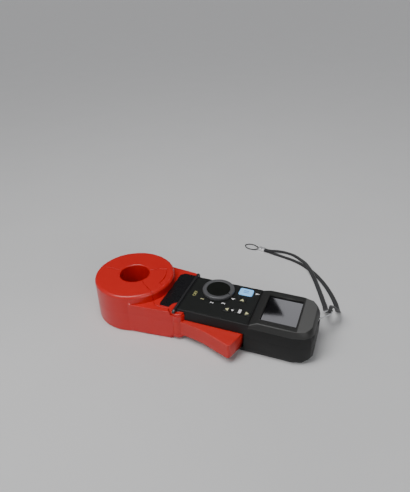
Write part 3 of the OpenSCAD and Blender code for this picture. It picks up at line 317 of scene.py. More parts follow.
def braid_section(plaits, start_w):
    """The section of a flat braid: an oval with the relief of its crossing plaits."""
    def section(u, a):
        width = start_w + (braid_w - start_w) * min(1.0, u / (8 * MM))
        along, round_it = u / plait_len, plaits * a
        crossing = math.sin(along + round_it) * math.sin(along - round_it)
        swell = 1 + 0.07 * crossing
        return width / 2 * math.cos(a) * swell, braid_t / 2 * math.sin(a) * swell
    return section


def braid_finish():
    """Black polyester yarn: crossing plaits with finer filaments and a soft sheen."""
    material, at, shader = new_finish("braid", "UV")
    along = at.part("X") * (1 / plait_len)
    round_it = at.part("Y") * (3 * math.tau)
    plait = ((along + round_it).sine() * (along - round_it).sine()) * 0.5 + 0.5
    filament = ((along * 9 + round_it * 9).sine() * 0.5 + 0.5) * 0.35
    fuzz = at.noise(900.0, 3.0) * 0.3
    (plait + fuzz).clamped().between(tone(0.006, 0.006, 0.0065), tone(0.034, 0.034, 0.036)) \
        .into(shader, "Base Color")
    (0.95 - plait * 0.2).into(shader, "Roughness")
    (plait + filament + fuzz).relief(0.12 * MM, 0.8).into(shader, "Normal")
    shader.inputs["Sheen Weight"].default_value = 0.25
    shader.inputs["Sheen Roughness"].default_value = 0.5
    return material


yarn = braid_finish()


def lay_strand(name, node, over, route, lift):
    """One strand from the fold to the sleeve; over is 1 above the wire, -1 below it."""
    start = Vector((fold_at.x, fold_at.y, hook_z + over * fold_r))
    laid = [Vector((x, y, h)) * MM + Vector((0, 0, rest_z)) for x, y, h in route]
    end = Vector((sleeve_at.x, sleeve_at.y, rest_z + lift))
    points = [start, start + 4 * MM * fold_out] + laid + [end - 4 * MM * sleeve_along, end]
    path = smooth_route(points, 20)
    strand = sweep(name, path, braid_section(3, fold_w), 24)
    return dress(strand, node, "hook", yarn), path


strand_outer, outer_path = lay_strand(
    "strand_outer", "strap_strand_outer", 1, outer_route, 0)
strand_inner, inner_path = lay_strand(
    "strand_inner", "strap_strand_inner", -1, inner_route, braid_t + 0.2 * MM)

fold_path = []
for i in range(25):
    turn = math.pi * i / 24
    fold_path.append(fold_at + Vector((0, 0, math.cos(turn) * fold_r))
                     - fold_out * math.sin(turn) * fold_r)
strap_fold = sweep("strap_fold", fold_path,
                   lambda u, a: (fold_w / 2 * math.cos(a), braid_t / 2 * math.sin(a)),
                   24, -fold_side)
dress(strap_fold, "strap_bight", "hook", yarn)


# ---------------------------------------------------------------- strap sleeve
# The sleeve is pressed from bright steel strip round the strands and the thin loop.
# A waist between its two bands holds the cord ends.
def shade(colour, factor):
    """The colour made darker or lighter by the factor."""
    return tuple(min(1.0, c * factor) for c in colour[:3]) + (1.0,)


def bright_steel(name, colour, streak=(1, 1, 1), metallic=1.0, rough=0.14):
    """Bright rolled steel: fine drawn streaks, small stains and a mirror-like gloss."""
    material, at, shader = new_finish(name)
    drawn = at.node("ShaderNodeMapping", sockets={"Vector": at, "Scale": streak})
    lines = drawn.noise(900.0, 3.0)
    stain = at.noise(220.0, 3.0)
    (stain * 0.6 + lines * 0.4).clamped().between(shade(colour, 0.72), colour) \
        .into(shader, "Base Color")
    (rough + lines * 0.2 + stain * 0.08).into(shader, "Roughness")
    lines.relief(0.02 * MM, 0.4).into(shader, "Normal")
    shader.inputs["Metallic"].default_value = metallic
    return material


bands = [(0.0, 0.8, 4.3), (0.3, 1.4, 4.8), (3.4, 1.4, 4.8), (3.8, 1.0, 4.4), (4.0, 0.0, 3.6),
         (5.0, 0.0, 3.6), (5.2, 0.4, 4.4), (5.6, 0.8, 4.8), (8.7, 0.8, 4.8), (9.0, 0.2, 4.3)]


def sleeve_section(u, a):
    """A pressed strip's section: nearly a rectangle. Each band has its place along the
    sleeve, its width over the braid's and its height."""
    place = u / MM
    for (x0, w0, h0), (x1, w1, h1) in zip(bands, bands[1:]):
        if place <= x1 + 1e-6:
            share = (place - x0) / (x1 - x0)
            break
    width = (braid_w + (w0 + (w1 - w0) * share) * MM) / 2
    height = (h0 + (h1 - h0) * share) * MM / 2
    squareness = 0.35
    x = math.copysign(abs(math.cos(a)) ** squareness, math.cos(a))
    y = math.copysign(abs(math.sin(a)) ** squareness, math.sin(a))
    return width * x, height * y


sleeve_path = [Vector((sleeve_at.x, sleeve_at.y, floor_z + 0.1 * MM + sleeve_h / 2))
               + sleeve_along * x * MM for x, _, _ in bands]
strap_sleeve = sweep("strap_sleeve", sleeve_path, sleeve_section, 40)
sleeve_steel = bright_steel("sleeve_steel", tone(0.92, 0.92, 0.93), (1, 1, 6), 0.55, 0.24)
dress(strap_sleeve, "strap_crimp", "hook", sleeve_steel)
lay_cord(outer_path)
lay_cord(inner_path)

# ---------------------------------------------------------------- strap loop
# The thin round cord behind the sleeve threads through a case's eyelet or a finger ring.
# It is laid from the same yarn as the braid, and both its ends are pressed in the sleeve.
loop_r = 0.8 * MM
loop_route = [(5, 4.4), (12, 6.6), (19, 5.4), (23, 0), (19, -5.4), (12, -6.6), (5, -4.4)]
loop_base = sleeve_at + sleeve_along * sleeve_len + Vector((0, 0, floor_z))
loop_left = heading(sleeve_dir + 90)
loop_points = [(0, 1.1, 2.4), (1.5, 1.1, 2.4)]
loop_points += [(x, y, 0.9) for x, y in loop_route]
loop_points += [(1.5, -1.1, 2.4), (0, -1.1, 2.4)]
loop_path = smooth_route(
    [loop_base + (sleeve_along * x + loop_left * y + Vector((0, 0, z))) * MM
     for x, y, z in loop_points], 20)


def cord_section(u, a):
    """A round cord with the relief of its laid strands."""
    swell = 1 + 0.05 * math.sin(u / (0.5 * MM) + 3 * a)
    return loop_r * math.cos(a) * swell, loop_r * math.sin(a) * swell


strap_loop = sweep("loop_cord", loop_path, cord_section, 14)
dress(strap_loop, "strap_loop", "hook", yarn)
lay_cord(loop_path)

# ---------------------------------------------------------------- strap hook
# The hook is one bright steel wire with a round eye on the strap pin and an open end.
# The braid's fold hangs in its bend, which the wire's returned end keeps closed.
eye_path = [hook_pin + heading(7.5 * k) * hook_eye for k in range(49)]
hook_path = [hook_pin + hook_along * (hook_eye + hook_leg * k / 6) for k in range(7)]
for i in range(1, 19):
    turn = math.pi * i / 18
    hook_path.append(hook_centre - hook_left * math.cos(turn) * hook_bend
                     + hook_along * math.sin(turn) * hook_bend)
hook_path += [hook_path[-1] - hook_along * hook_return * k / 3 for k in (1, 2, 3)]


def wire_section(u, a):
    return hook_wire * math.cos(a), hook_wire * math.sin(a)


wire_steel = bright_steel("wire_steel", tone(0.92, 0.92, 0.94), metallic=0.7, rough=0.2)
for name, path, node in (("hook_eye", eye_path, None), ("hook_leg", hook_path, "strap_hook")):
    dress(sweep(name, path, wire_section, 16), node, "hook", wire_steel)


# ---------------------------------------------------------------- red jaw shells
# Four shells of moulded red ABS, two on the handle's side and two that open. Each has
# softened outer edges, a fine parting line and a satin gloss with handling marks.
def all_solids():
    """Every carried-over solid together, to tell open edges from enclosed ones."""
    corners, faces = [], []
    for piece in nodes.values():
        first = len(corners)
        corners += [corner.co.copy() for corner in piece.data.vertices]
        faces += [[first + i for i in face.vertices] for face in piece.data.polygons]
    return BVHTree.FromPolygons(corners, faces)


solids = all_solids()
crisp_band = 0.06 * MM


def crisp_at(height, share):
    """Full rounding, but only a share of it at one height, along a parting line."""
    return lambda middle: share if abs(middle.z - height) < crisp_band else 1.0


def settled(piece):
    """The mesh that a piece ends up with."""
    return bpy.data.meshes.new_from_object(
        piece.evaluated_get(bpy.context.evaluated_depsgraph_get()))


def settle(piece):
    """Applies a piece's modifiers."""
    mesh = settled(piece)
    piece.modifiers.clear()
    piece.data = mesh


def rounded_copy(node, name, width, body, material, weigh=None):
    """A dressed copy of a moulded piece with its open outer edges rounded as a mould
    leaves them: by the width, or by as much as the surfaces beside an edge have room
    for. weigh gives the share of the width at an edge's middle."""
    joined = 1.5e-5
    flat, crease, corner_from = (math.radians(turn) for turn in (0.7, 3, 28))
    work = bmesh.new()
    work.from_mesh(nodes[node].data)
    bmesh.ops.remove_doubles(work, verts=work.verts, dist=joined)
    bmesh.ops.dissolve_degenerate(work, edges=work.edges, dist=joined)
    bmesh.ops.dissolve_limit(work, angle_limit=flat, verts=work.verts, edges=work.edges,
                             delimit=set())
    share = work.edges.layers.float.new("bevel_weight_edge")
    turn = {edge: edge.calc_face_angle_signed(0) for edge in work.edges}
    sharp = {edge for edge in work.edges if abs(turn[edge]) > corner_from}
    # Faces that no sharp edge parts belong to one surface.
    surface = {}
    for seed in work.faces:
        waiting = [] if seed in surface else [seed]
        while waiting:
            face = waiting.pop()
            surface[face] = seed
            waiting += [other for edge in face.edges if edge not in sharp
                        for other in edge.link_faces if other not in surface]
    spots = []
    for edge in work.edges:
        if abs(turn[edge]) > crease:
            start, end = edge.verts[0].co, edge.verts[1].co
            count = int((end - start).length / (0.5 * MM)) + 2
            spots += [(start.lerp(end, i / count), edge) for i in range(count + 1)]
    near = KDTree(len(spots))
    for i, (point, _) in enumerate(spots):
        near.insert(point, i)
    near.balance()
    reach = 2.2 * width
    widths = {}
    for edge in sharp:
        edge.smooth = False
        if turn[edge] < 0 or not edge.is_manifold:
            continue
        start, end = edge.verts[0].co, edge.verts[1].co
        outward = (edge.link_faces[0].normal + edge.link_faces[1].normal).normalized()
        steps = [start.lerp(end, step) for step in (0.15, 0.5, 0.85)]
        if all(solids.ray_cast(here + outward * 0.05 * MM, outward, 0.3)[0] for here in steps):
            continue
        along = (end - start).normalized()
        beside = {other for corner in edge.verts for other in corner.link_edges}
        mine = {surface[face] for face in edge.link_faces}
        room = reach
        for corner in edge.verts:
            for other in corner.link_edges:
                leg = other.other_vert(corner).co - corner.co
                across = leg.cross(along).length
                if across > 0.35 * leg.length and set(other.link_faces) & set(edge.link_faces):
                    room = min(room, across)
        for here in steps:
            for point, i, distance in near.find_range(here, reach):
                other = spots[i][1]
                if other in beside or distance == 0 \
                        or not mine & {surface[face] for face in other.link_faces} \
                        or abs((point - here).dot(along)) > 0.8 * distance:
                    continue
                run = (other.verts[1].co - other.verts[0].co).normalized()
                if other in sharp or abs(run.dot(along)) > 0.7:
                    room = min(room, distance)
        part = min(weigh((start + end) / 2) if weigh else 1.0, room / reach)
        if part * width > 0.05 * MM:
            widths[edge] = part * width
    # Along a curved edge the width changes slowly, so that the offset lines still meet.
    narrowest = [(size, edge.index, edge) for edge, size in widths.items()]
    heapq.heapify(narrowest)
    while narrowest:
        size, _, edge = heapq.heappop(narrowest)
        for corner in edge.verts:
            leg = edge.other_vert(corner).co - corner.co
            for other in corner.link_edges:
                if other == edge or widths.get(other, 0) <= size:
                    continue
                next_leg = other.other_vert(corner).co - corner.co
                bend = leg.angle(-next_leg)
                limit = size + 0.4 * min(leg.length, next_leg.length) * math.sin(bend)
                if 0.02 < bend < 0.7 and widths[other] > limit:
                    widths[other] = limit
                    heapq.heappush(narrowest, (limit, other.index, other))
    for edge, size in widths.items():
        edge[share] = size / width
        edge.smooth = True
    piece = link_mesh(name, work)
    bevel = piece.modifiers.new("edges", "BEVEL")
    bevel.width = width
    bevel.segments = 3
    bevel.limit_method = "WEIGHT"
    bevel.use_clamp_overlap = False
    bevel.loop_slide = False
    normals = piece.modifiers.new("normals", "WEIGHTED_NORMAL")
    normals.keep_sharp = True
    settle(piece)
    return dress(piece, node, body, material)


def moulded(name, colour, rough, grain, depth, blotch=0.12, gloss=0.5):
    """Moulded plastic: a fine grain, slightly cloudy colour and rubbed patches."""
    material, at, shader = new_finish(name)
    cloud = at.noise(36.0, 3.0)
    rubbed = at.noise(140.0, 5.0, 0.6)
    fine = at.noise(grain, 2.0)
    (cloud * 0.6 + rubbed * 0.4).clamped() \
        .between(shade(colour, 1 - blotch), shade(colour, 1 + blotch)) \
        .into(shader, "Base Color")
    (rough - 0.06 + rubbed * 0.12).into(shader, "Roughness")
    (fine + rubbed * 0.15).relief(depth, 0.6).into(shader, "Normal")
    shader.inputs["Specular IOR Level"].default_value = gloss
    return material


red_abs = moulded("red_abs", tone(0.55, 0.014, 0.012), 0.31, 2600.0, 0.012 * MM, 0.07)
for node, body in (("head_shell_front", "body"), ("head_shell_back", "body"),
                   ("moving_jaw_front", "jaw"), ("moving_jaw_back", "jaw")):
    rounded_copy(node, node + "_shell", 1.9 * MM, body, red_abs,
                 crisp_at(0, 0.11))

# ---------------------------------------------------------------- trigger
# One red lever, moulded solid round its eye, with well rounded edges for the fingers.
# Two dowels tie it to the moving jaw, so that pressing it opens the head.
red_lever = moulded("red_lever", tone(0.54, 0.018, 0.012), 0.42, 2200.0, 0.02 * MM, 0.1)
rounded_copy("trigger", "trigger_lever", 1.3 * MM, "jaw", red_lever)

# ---------------------------------------------------------------- hand guard and plate
# The guard is a black moulded flange that keeps the fingers from the jaws. The rating
# plate is a thin gloss black plate on the neck and is left bare.
guard_black = moulded("guard_black", tone(0.020, 0.020, 0.021), 0.4, 1800.0, 0.02 * MM)
rounded_copy("hand_guard", "guard_flange", 0.8 * MM, "body", guard_black)
plate_gloss = moulded("plate_gloss", tone(0.008, 0.008, 0.009), 0.28, 3000.0, 0.006 * MM)
rounded_copy("rating_plate", "bare_plate", 0.12 * MM, "body", plate_gloss)

# ---------------------------------------------------------------- housings
# Two black handle halves of grained ABS, the battery cover in the back half and the
# raised frame round the display, each with a crisp seam to its neighbour.
housing_black = moulded("housing_black", tone(0.010, 0.010, 0.010), 0.5, 1500.0, 0.035 * MM,
                        0.12, 0.32)
seam_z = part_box("front_housing")[0].z
for node, name in (("front_housing", "handle_front"), ("back_housing", "handle_back")):
    rounded_copy(node, name, 0.8 * MM, "body", housing_black,
                 crisp_at(seam_z, 0.35))
rounded_copy("battery_cover", "cover_plate", 0.3 * MM, "body", housing_black)
frame_low, frame_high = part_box("display_frame")
end_face_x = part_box("display_lens")[1].x + 1.2 * MM


def framed(middle):
    """The frame's foot stays crisp where it lies on the deck."""
    return 0.12 if middle.z < frame_low.z + 0.5 * MM else 1.0


# The end face beyond the window is left coarser than the rest, and its colour is painted paler
# as painted sheen, for the light that a tilted face would catch.
frame_black, frame_at, frame_shader = new_finish("frame_black")
coarser_with_painted_sheen = ((frame_at.part("X") - end_face_x) * 1500.0).clamped() \
    * ((frame_at.part("Z") - (frame_high.z - 0.5 * MM)) * 4000.0).clamped()
frame_rub = frame_at.noise(140.0, 5.0, 0.6)
frame_grain = frame_at.noise(1700.0)
# Painted sheen: the end face's base colour is made paler than the rest of the frame.
(coarser_with_painted_sheen + (frame_rub - 0.5) * 0.1).clamped() \
    .between(tone(0.020, 0.020, 0.019), tone(0.085, 0.085, 0.083)) \
    .into(frame_shader, "Base Color")
(0.42 + frame_rub * 0.1 + coarser_with_painted_sheen * 0.15).into(frame_shader, "Roughness")
(frame_grain * (coarser_with_painted_sheen + 0.6)).relief(0.04 * MM, 0.6).into(frame_shader, "Normal")
rounded_copy("display_frame", "display_bezel", 1.1 * MM, "body", frame_black,
             framed)

# ---------------------------------------------------------------- panel film
# The key panel carries a thin printed film with a fine satin grain. Its legends are
# plain: a word for the resting step, numbers, an arrow and two small marks.
film_satin = moulded("film_satin", tone(0.009, 0.010, 0.009), 0.42, 2400.0, 0.012 * MM)
rounded_copy("panel_film", "printed_film", 0.1 * MM, "body", film_satin)
film_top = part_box("panel_film")[1].z


def ink(name, colour):
    """Screen-printed ink: a little uneven in cover, matt, on a raised edge."""
    material, at, shader = new_finish(name)
    cover = at.noise(1400.0, 3.0)
    cover.between(shade(colour, 0.72), colour).into(shader, "Base Color")
    (0.5 + cover * 0.15).into(shader, "Roughness")
    cover.relief(0.004 * MM).into(shader, "Normal")
    return material


dull_yellow = ink("dull_yellow_ink", tone(0.42, 0.41, 0.16))
pale_yellow = ink("pale_yellow_ink", tone(0.80, 0.78, 0.42))
pale_white = ink("pale_white_ink", tone(0.92, 0.90, 0.91))


def print_shape(name, outline, x, y, z, turn, body, colour):
    """A thin flat mark: its outline in millimetres is turned by so many degrees and laid
    with its middle at x, y on the height z."""
    work = bmesh.new()
    place = Matrix.Translation((x * MM, y * MM, z)) \
        @ Matrix.Rotation(math.radians(turn), 4, "Z")
    face = work.faces.new([work.verts.new(place @ (Vector((a, b, 0)) * MM))
                           for a, b in outline])
    raised = bmesh.ops.extrude_face_region(work, geom=[face])["geom"]
    for part in raised:
        if isinstance(part, bmesh.types.BMVert):
            part.co.z += 0.03 * MM
    bmesh.ops.recalc_face_normals(work, faces=work.faces)
    dress(link_mesh(name, work, smooth=False), None, body, colour)


def print_word(word, height, x, y, colour):
    """A plain word or number on the film, read with the jaws pointing away."""
    text = bpy.data.curves.new("legend_" + word, "FONT")
    text.body = word
    text.align_x = "CENTER"
    text.align_y = "CENTER"
    text.size = height * MM / 0.7
    text.extrude = 0.015 * MM
    text.offset = 0.12 * MM
    writer = add_object("writer", text)
    mesh = settled(writer)
    bpy.data.objects.remove(writer)
    mesh.transform(Matrix.Translation((x * MM, y * MM, film_top + 0.015 * MM))
                   @ Matrix.Rotation(math.radians(90), 4, "Z"))
    dress(add_object("legend_" + word, mesh), None, "body", colour)


knob_low, knob_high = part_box("selector_knob")
knob_at = (knob_low + knob_high) / 2
knob_r = (knob_high.x - knob_low.x) / 2
legends = (("OFF", -152, 27.4, 3.8, dull_yellow), ("1", -123, 23.4, 4.0, pale_yellow),
           ("2", -91, 22.4, 3.6, pale_white), ("3", -57, 23.2, 4.2, pale_white),
           ("4", -22, 22.2, 4.2, pale_white))
for word, angle, distance, height, colour in legends:
    spot = knob_at / MM + distance * heading(angle)
    print_word(word, height, spot.x, spot.y, colour)
arrow = [(-2.2, -1.4), (2.9, 0), (-2.2, 1.4)]
wedge = [(-1.7, 1.5), (0, -1.7), (1.7, 1.5)]
for name, outline, x, y in (("legend_arrow", arrow, 146.6, 22.4),
                            ("legend_mark", wedge, 128, -14.6)):
    print_shape(name, outline, x, y, film_top, 0, "body", pale_white)

# ---------------------------------------------------------------- display
# A smoked acrylic window lies in the frame over an unlit display on the deck. A thin
# amber flex leads from it down to the board.
lens_material, lens_at, lens_shader = new_finish("smoked_acrylic")
smudge = lens_at.noise(90.0, 4.0)
(smudge * 0.04 + 0.02).into(lens_shader, "Roughness")
smudge.between(tone(0.002, 0.002, 0.002), tone(0.004, 0.004, 0.005)) \
    .into(lens_shader, "Base Color")
smudge.relief(0.002 * MM, 0.2).into(lens_shader, "Normal")


def finish_nodes(material, *names):
    """Gives carried-over pieces their finish."""
    for name in names:
        nodes[name].data.materials.clear()
        nodes[name].data.materials.append(material)


finish_nodes(lens_material, "display_lens")
field_material, field_at, field_shader = new_finish("unlit_display")
field_at.maths("FRACT", field_at.part("Y") * 900.0) \
    .between(tone(0.008, 0.010, 0.012), tone(0.016, 0.018, 0.022)) \
    .into(field_shader, "Base Color")
field_at.noise(200.0).relief(0.004 * MM).into(field_shader, "Normal")
(field_at.noise(160.0) * 0.1 + 0.15).into(field_shader, "Roughness")
finish_nodes(field_material, "oled_module")
finish_nodes(moulded("amber_film", tone(0.42, 0.17, 0.02), 0.3, 1500.0, 0.005 * MM, 0.15),
             "display_flex")


# ---------------------------------------------------------------- selector knob
# The knob is a low ring of grey ABS, pressed on the shaft. Its skirt has finger grooves,
# a black disc lies dished inside its rim, and a dark bar on the rim stands for the pointer's
# notch as painted shade.
def turned(name, centre, profile, segments, dip=None):
    """A closed turned solid. profile holds (radius, height) pairs that start and end on
    the axis, and dip(angle, radius, height) takes a little off a radius."""
    work = bmesh.new()
    rings = []
    for radius, z in profile:
        if radius == 0:
            rings.append([work.verts.new((centre.x, centre.y, z))])
            continue
        ring = []
        for k in range(segments):
            angle = math.tau * k / segments
            r = radius - (dip(angle, radius, z) if dip else 0.0)
            ring.append(work.verts.new((centre.x + r * math.cos(angle),
                                        centre.y + r * math.sin(angle), z)))
        rings.append(ring)
    for low, high in zip(rings, rings[1:]):
        for k in range(segments):
            n = (k + 1) % segments
            corners = [low[k % len(low)], low[n % len(low)],
                       high[n % len(high)], high[k % len(high)]]
            distinct = list(dict.fromkeys(corners))
            if len(distinct) > 2:
                work.faces.new(distinct)
    bmesh.ops.recalc_face_normals(work, faces=work.faces)
    for edge in work.edges:
        edge.smooth = edge.calc_face_angle(0) < math.radians(40)
    return link_mesh(name, work)


disc_low, disc_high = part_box("selector_disc")
disc_r = (disc_high.x - disc_low.x) / 2 + 0.1 * MM
shaft_r = 4 * MM
groove_top = knob_low.z + 2.4 * MM


def finger_grooves(angle, radius, z):
    """Twenty-four round grooves in the lower part of the skirt."""
    if z > groove_top or radius < knob_r - 0.6 * MM:
        return 0.0
    step = math.radians(15)
    off = (angle + step / 2) % step - step / 2
    aside = knob_r * off / MM
    return max(0.0, math.sqrt(max(0.0, 1 - aside * aside)) - 0.5) * MM


rim = knob_high.z
knob_profile = [
    (0, knob_low.z + 1.5 * MM), (shaft_r, knob_low.z + 1.5 * MM), (shaft_r, knob_low.z),
    (knob_r - 0.5 * MM, knob_low.z), (knob_r - 0.1 * MM, knob_low.z + 0.2 * MM),
    (knob_r, knob_low.z + 0.6 * MM), (knob_r, groove_top), (knob_r, groove_top + 0.05 * MM),
    (knob_r, rim - 1.3 * MM), (knob_r - 0.15 * MM, rim - 0.8 * MM),
    (knob_r - 0.45 * MM, rim - 0.35 * MM), (knob_r - 0.9 * MM, rim - 0.08 * MM),
    (knob_r - 1.4 * MM, rim), (knob_r - 2.4 * MM, rim - 0.06 * MM),
    (disc_r + 0.9 * MM, rim - 0.22 * MM), (disc_r + 0.3 * MM, rim - 0.4 * MM),
    (disc_r, rim - 0.6 * MM), (disc_r, disc_low.z), (0, disc_low.z)]
grey_abs = moulded("grey_abs", tone(0.085, 0.086, 0.090), 0.36, 2200.0, 0.012 * MM, 0.08)
dress(turned("knob_ring", knob_at, knob_profile, 288, finger_grooves), "selector_knob",
      "selector", grey_abs)

disc_top = disc_high.z
disc_profile = [(0, disc_low.z), (disc_r - 0.1 * MM, disc_low.z),
                (disc_r - 0.1 * MM, disc_top - 0.15 * MM), (disc_r - 0.3 * MM, disc_top),
                (disc_r * 0.8, disc_top - 0.12 * MM), (disc_r * 0.4, disc_top - 0.28 * MM),
                (0, disc_top - 0.32 * MM)]
disc_black, disc_at, disc_shader = new_finish("turned_black")
from_axis = disc_at.node("ShaderNodeVectorMath", {"operation": "DISTANCE"},
                         {0: disc_at, 1: (knob_at.x, knob_at.y, disc_top)}, out="Value")
turning = (from_axis * (math.tau / (0.35 * MM))).sine() * 0.5 + 0.5
dust = disc_at.noise(300.0, 4.0)
dust.between(tone(0.004, 0.005, 0.004), tone(0.009, 0.010, 0.008)) \
    .into(disc_shader, "Base Color")
(turning * 0.1 + dust * 0.15 + 0.4).into(disc_shader, "Roughness")
disc_shader.inputs["Specular IOR Level"].default_value = 0.16
turning.relief(0.006 * MM, 0.5).into(disc_shader, "Normal")
dress(turned("knob_disc", knob_at, disc_profile, 96), "selector_disc", "selector",
      disc_black)

# The pointer's notch is not cut: a flat dark bar on the rim is painted shade in its place.
pointer_angle = -23
pointer_r = (disc_r + knob_r) / 2 / MM - 0.3
pointer_at = knob_at / MM + pointer_r * heading(pointer_angle)
print_shape("knob_notch_painted_shade", [(-1.9, -0.55), (1.7, -0.55), (1.7, 0.55), (-1.9, 0.55)],
            pointer_at.x, pointer_at.y, rim - 0.02 * MM, pointer_angle, "selector",
            disc_black)

# ---------------------------------------------------------------- keys
# Five moulded keys stand a little proud of the film: a pale blue one with a painted glow
# that holds the reading, and four black ones with printed marks.
pale_blue, blue_at, blue_shader = new_finish("pale_blue_key_painted_glow")
blue_cloud = blue_at.noise(160.0, 3.0)
blue_cloud.between(tone(0.16, 0.46, 0.96), tone(0.26, 0.60, 1.0)) \
    .into(blue_shader, "Base Color")
(blue_cloud * 0.12 + 0.3).into(blue_shader, "Roughness")
blue_at.noise(2400.0).relief(0.008 * MM).into(blue_shader, "Normal")
# Painted glow: the key emits light of its own colour, though it holds no lamp.
blue_shader.inputs["Emission Color"].default_value = tone(0.20, 0.56, 1.0)
blue_shader.inputs["Emission Strength"].default_value = 0.55
key_black = moulded("key_black", tone(0.011, 0.012, 0.011), 0.45, 2400.0, 0.012 * MM)
rounded_copy("key_hold", "hold_cap", 0.7 * MM, "key_hold", pale_blue)
for node in ("key_up", "key_left", "key_right", "key_enter"):
    rounded_copy(node, node + "_cap", 0.5 * MM, node, key_black)
key_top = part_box("key_up")[1].z


def key_middle(node):
    low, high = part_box(node)
    return (low.x + high.x) / 2 / MM, (low.y + high.y) / 2 / MM


def oblong(half_len, half_w):
    return [(-half_len, -half_w), (half_len, -half_w), (half_len, half_w), (-half_len, half_w)]


triangle = [(-1.8, -2.5), (2.0, 0), (-1.8, 2.5)]
for node, turn in (("key_up", 90), ("key_left", 180), ("key_right", 0)):
    x, y = key_middle(node)
    print_shape(node + "_mark", triangle, x, y, key_top, turn, node, pale_yellow)
x, y = key_middle("key_enter")
print_shape("enter_mark", oblong(1.5, 3.2), x + 2.4, y, key_top, 0, "key_enter",
            pale_white)
x, y = key_middle("key_hold")
hold_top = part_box("key_hold")[1].z
hold_ink = ink("hold_ink", tone(0.07, 0.20, 0.50))
for name, aside in (("hold_bar_near", -1.4), ("hold_bar_far", 1.4)):
    print_shape(name, oblong(3, 0.5), x, y + aside, hold_top, 0, "key_hold", hold_ink)


# ---------------------------------------------------------------- screws
# Zinc-plated cross-head screws hold the red shells, the two housings and the battery
# cover from the back. Each is a low chamfered head on a plain shank.
def grow_tree():
    """Geometry Nodes that put one screw, head outwards, on each point."""
    tree = bpy.data.node_groups.new("cross_head_screws", "GeometryNodeTree")
    tree.is_modifier = True
    tree.interface.new_socket("Geometry", in_out="INPUT", socket_type="NodeSocketGeometry")
    inputs = {}
    for label, kind in (("Head Radius", "Float"), ("Head Height", "Float"),
                        ("Shank Radius", "Float"), ("Length", "Float"), ("Steel", "Material")):
        inputs[label] = tree.interface.new_socket(
            label, in_out="INPUT", socket_type="NodeSocket" + kind).identifier
    tree.interface.new_socket("Geometry", in_out="OUTPUT", socket_type="NodeSocketGeometry")
    given = tree.nodes.new("NodeGroupInput")

    def add(kind, settings=None, sockets=None):
        made = tree.nodes.new(kind)
        for name, value in (settings or {}).items():
            setattr(made, name, value)
        for name, value in (sockets or {}).items():
            if isinstance(value, bpy.types.NodeSocket):
                tree.links.new(value, made.inputs[name])
            else:
                made.inputs[name].default_value = value
        return made

    def times(value, factor):
        return add("ShaderNodeMath", {"operation": "MULTIPLY"},
                   {0: value, 1: factor}).outputs[0]

    def vector(x, y, z):
        return add("ShaderNodeCombineXYZ", None, {0: x, 1: y, 2: z}).outputs[0]

    def lifted(geometry, z):
        return add("GeometryNodeTransform", None, {
            "Geometry": geometry, "Translation": vector(0.0, 0.0, z)}).outputs[0]

    head_r, head_h = given.outputs["Head Radius"], given.outputs["Head Height"]
    shank_r, length = given.outputs["Shank Radius"], given.outputs["Length"]
    head = add("GeometryNodeMeshCone", None, {
        "Vertices": 32, "Radius Top": head_r, "Radius Bottom": times(head_r, 0.82),
        "Depth": head_h}).outputs["Mesh"]
    slots = []
    for long_side in (0, 1):
        wide, slim = times(head_r, 1.15), times(head_r, 0.24)
        size = vector(slim, wide, head_h) if long_side else vector(wide, slim, head_h)
        bar = add("GeometryNodeMeshCube", None, {"Size": size}).outputs["Mesh"]
        slots.append(lifted(bar, times(head_h, -0.4)))
    cut = add("GeometryNodeMeshBoolean", {"operation": "DIFFERENCE"})
    tree.links.new(head, cut.inputs["Mesh 1"])
    for bar in slots:
        tree.links.new(bar, cut.inputs["Mesh 2"])
    raised = lifted(cut.outputs["Mesh"], times(head_h, 0.5))
    shank = add("GeometryNodeMeshCylinder", None, {
        "Vertices": 20, "Radius": shank_r, "Depth": length}).outputs["Mesh"]
    middle = add("ShaderNodeMath", {"operation": "MULTIPLY_ADD"},
                 {0: length, 1: 0.5, 2: times(head_h, 0.8)}).outputs[0]
    joined = add("GeometryNodeJoinGeometry")
    tree.links.new(lifted(shank, middle), joined.inputs[0])
    tree.links.new(raised, joined.inputs[0])
    placed = add("GeometryNodeInstanceOnPoints", None, {
        "Points": given.outputs["Geometry"], "Instance": joined.outputs[0]})
    real = add("GeometryNodeRealizeInstances", None, {"Geometry": placed.outputs[0]})
    coloured = add("GeometryNodeSetMaterial", None, {
        "Geometry": real.outputs[0], "Material": given.outputs["Steel"]})
    result = tree.nodes.new("NodeGroupOutput")
    tree.links.new(coloured.outputs[0], result.inputs[0])
    return tree, inputs


screw_tree, screw_inputs = grow_tree()
zinc = bright_steel("zinc_plate", tone(0.52, 0.53, 0.56))


def solid_middles(node):
    """The middle in x and y of each separate solid of a node, and the node's lowest z."""
    work = bmesh.new()
    work.from_mesh(nodes[node].data)
    bmesh.ops.remove_doubles(work, verts=work.verts, dist=2e-6)
    left = set(work.verts)
    middles = []
    while left:
        group, edge_of = set(), [left.pop()]
        while edge_of:
            corner = edge_of.pop()
            group.add(corner)
            for link in corner.link_edges:
                other = link.other_vert(corner)
                if other in left:
                    left.discard(other)
                    edge_of.append(other)
        xs = [v.co.x for v in group]
        ys = [v.co.y for v in group]
        middles.append(((min(xs) + max(xs)) / 2, (min(ys) + max(ys)) / 2))
    work.free()
    return middles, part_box(node)[0].z


def drive_screws(node, name, body, head_h):
    """Screws in place of a node's plain ones, as deep as those are."""
    head_r, shank_r = 2.3 * MM, 1.4 * MM
    middles, outer_z = solid_middles(node)
    points = bpy.data.meshes.new(name)
    points.from_pydata([(x, y, outer_z) for x, y in middles], [], [])
    seed = add_object(name, points)
    modifier = seed.modifiers.new("screws", "NODES")
    modifier.node_group = screw_tree
    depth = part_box(node)[1].z - outer_z
    for label, value in (("Head Radius", head_r), ("Head Height", head_h),
                         ("Shank Radius", shank_r), ("Length", depth - head_h * 0.8),
                         ("Steel", zinc)):
        modifier[screw_inputs[label]] = value
    settle(seed)
    dress(seed, node, body, zinc)


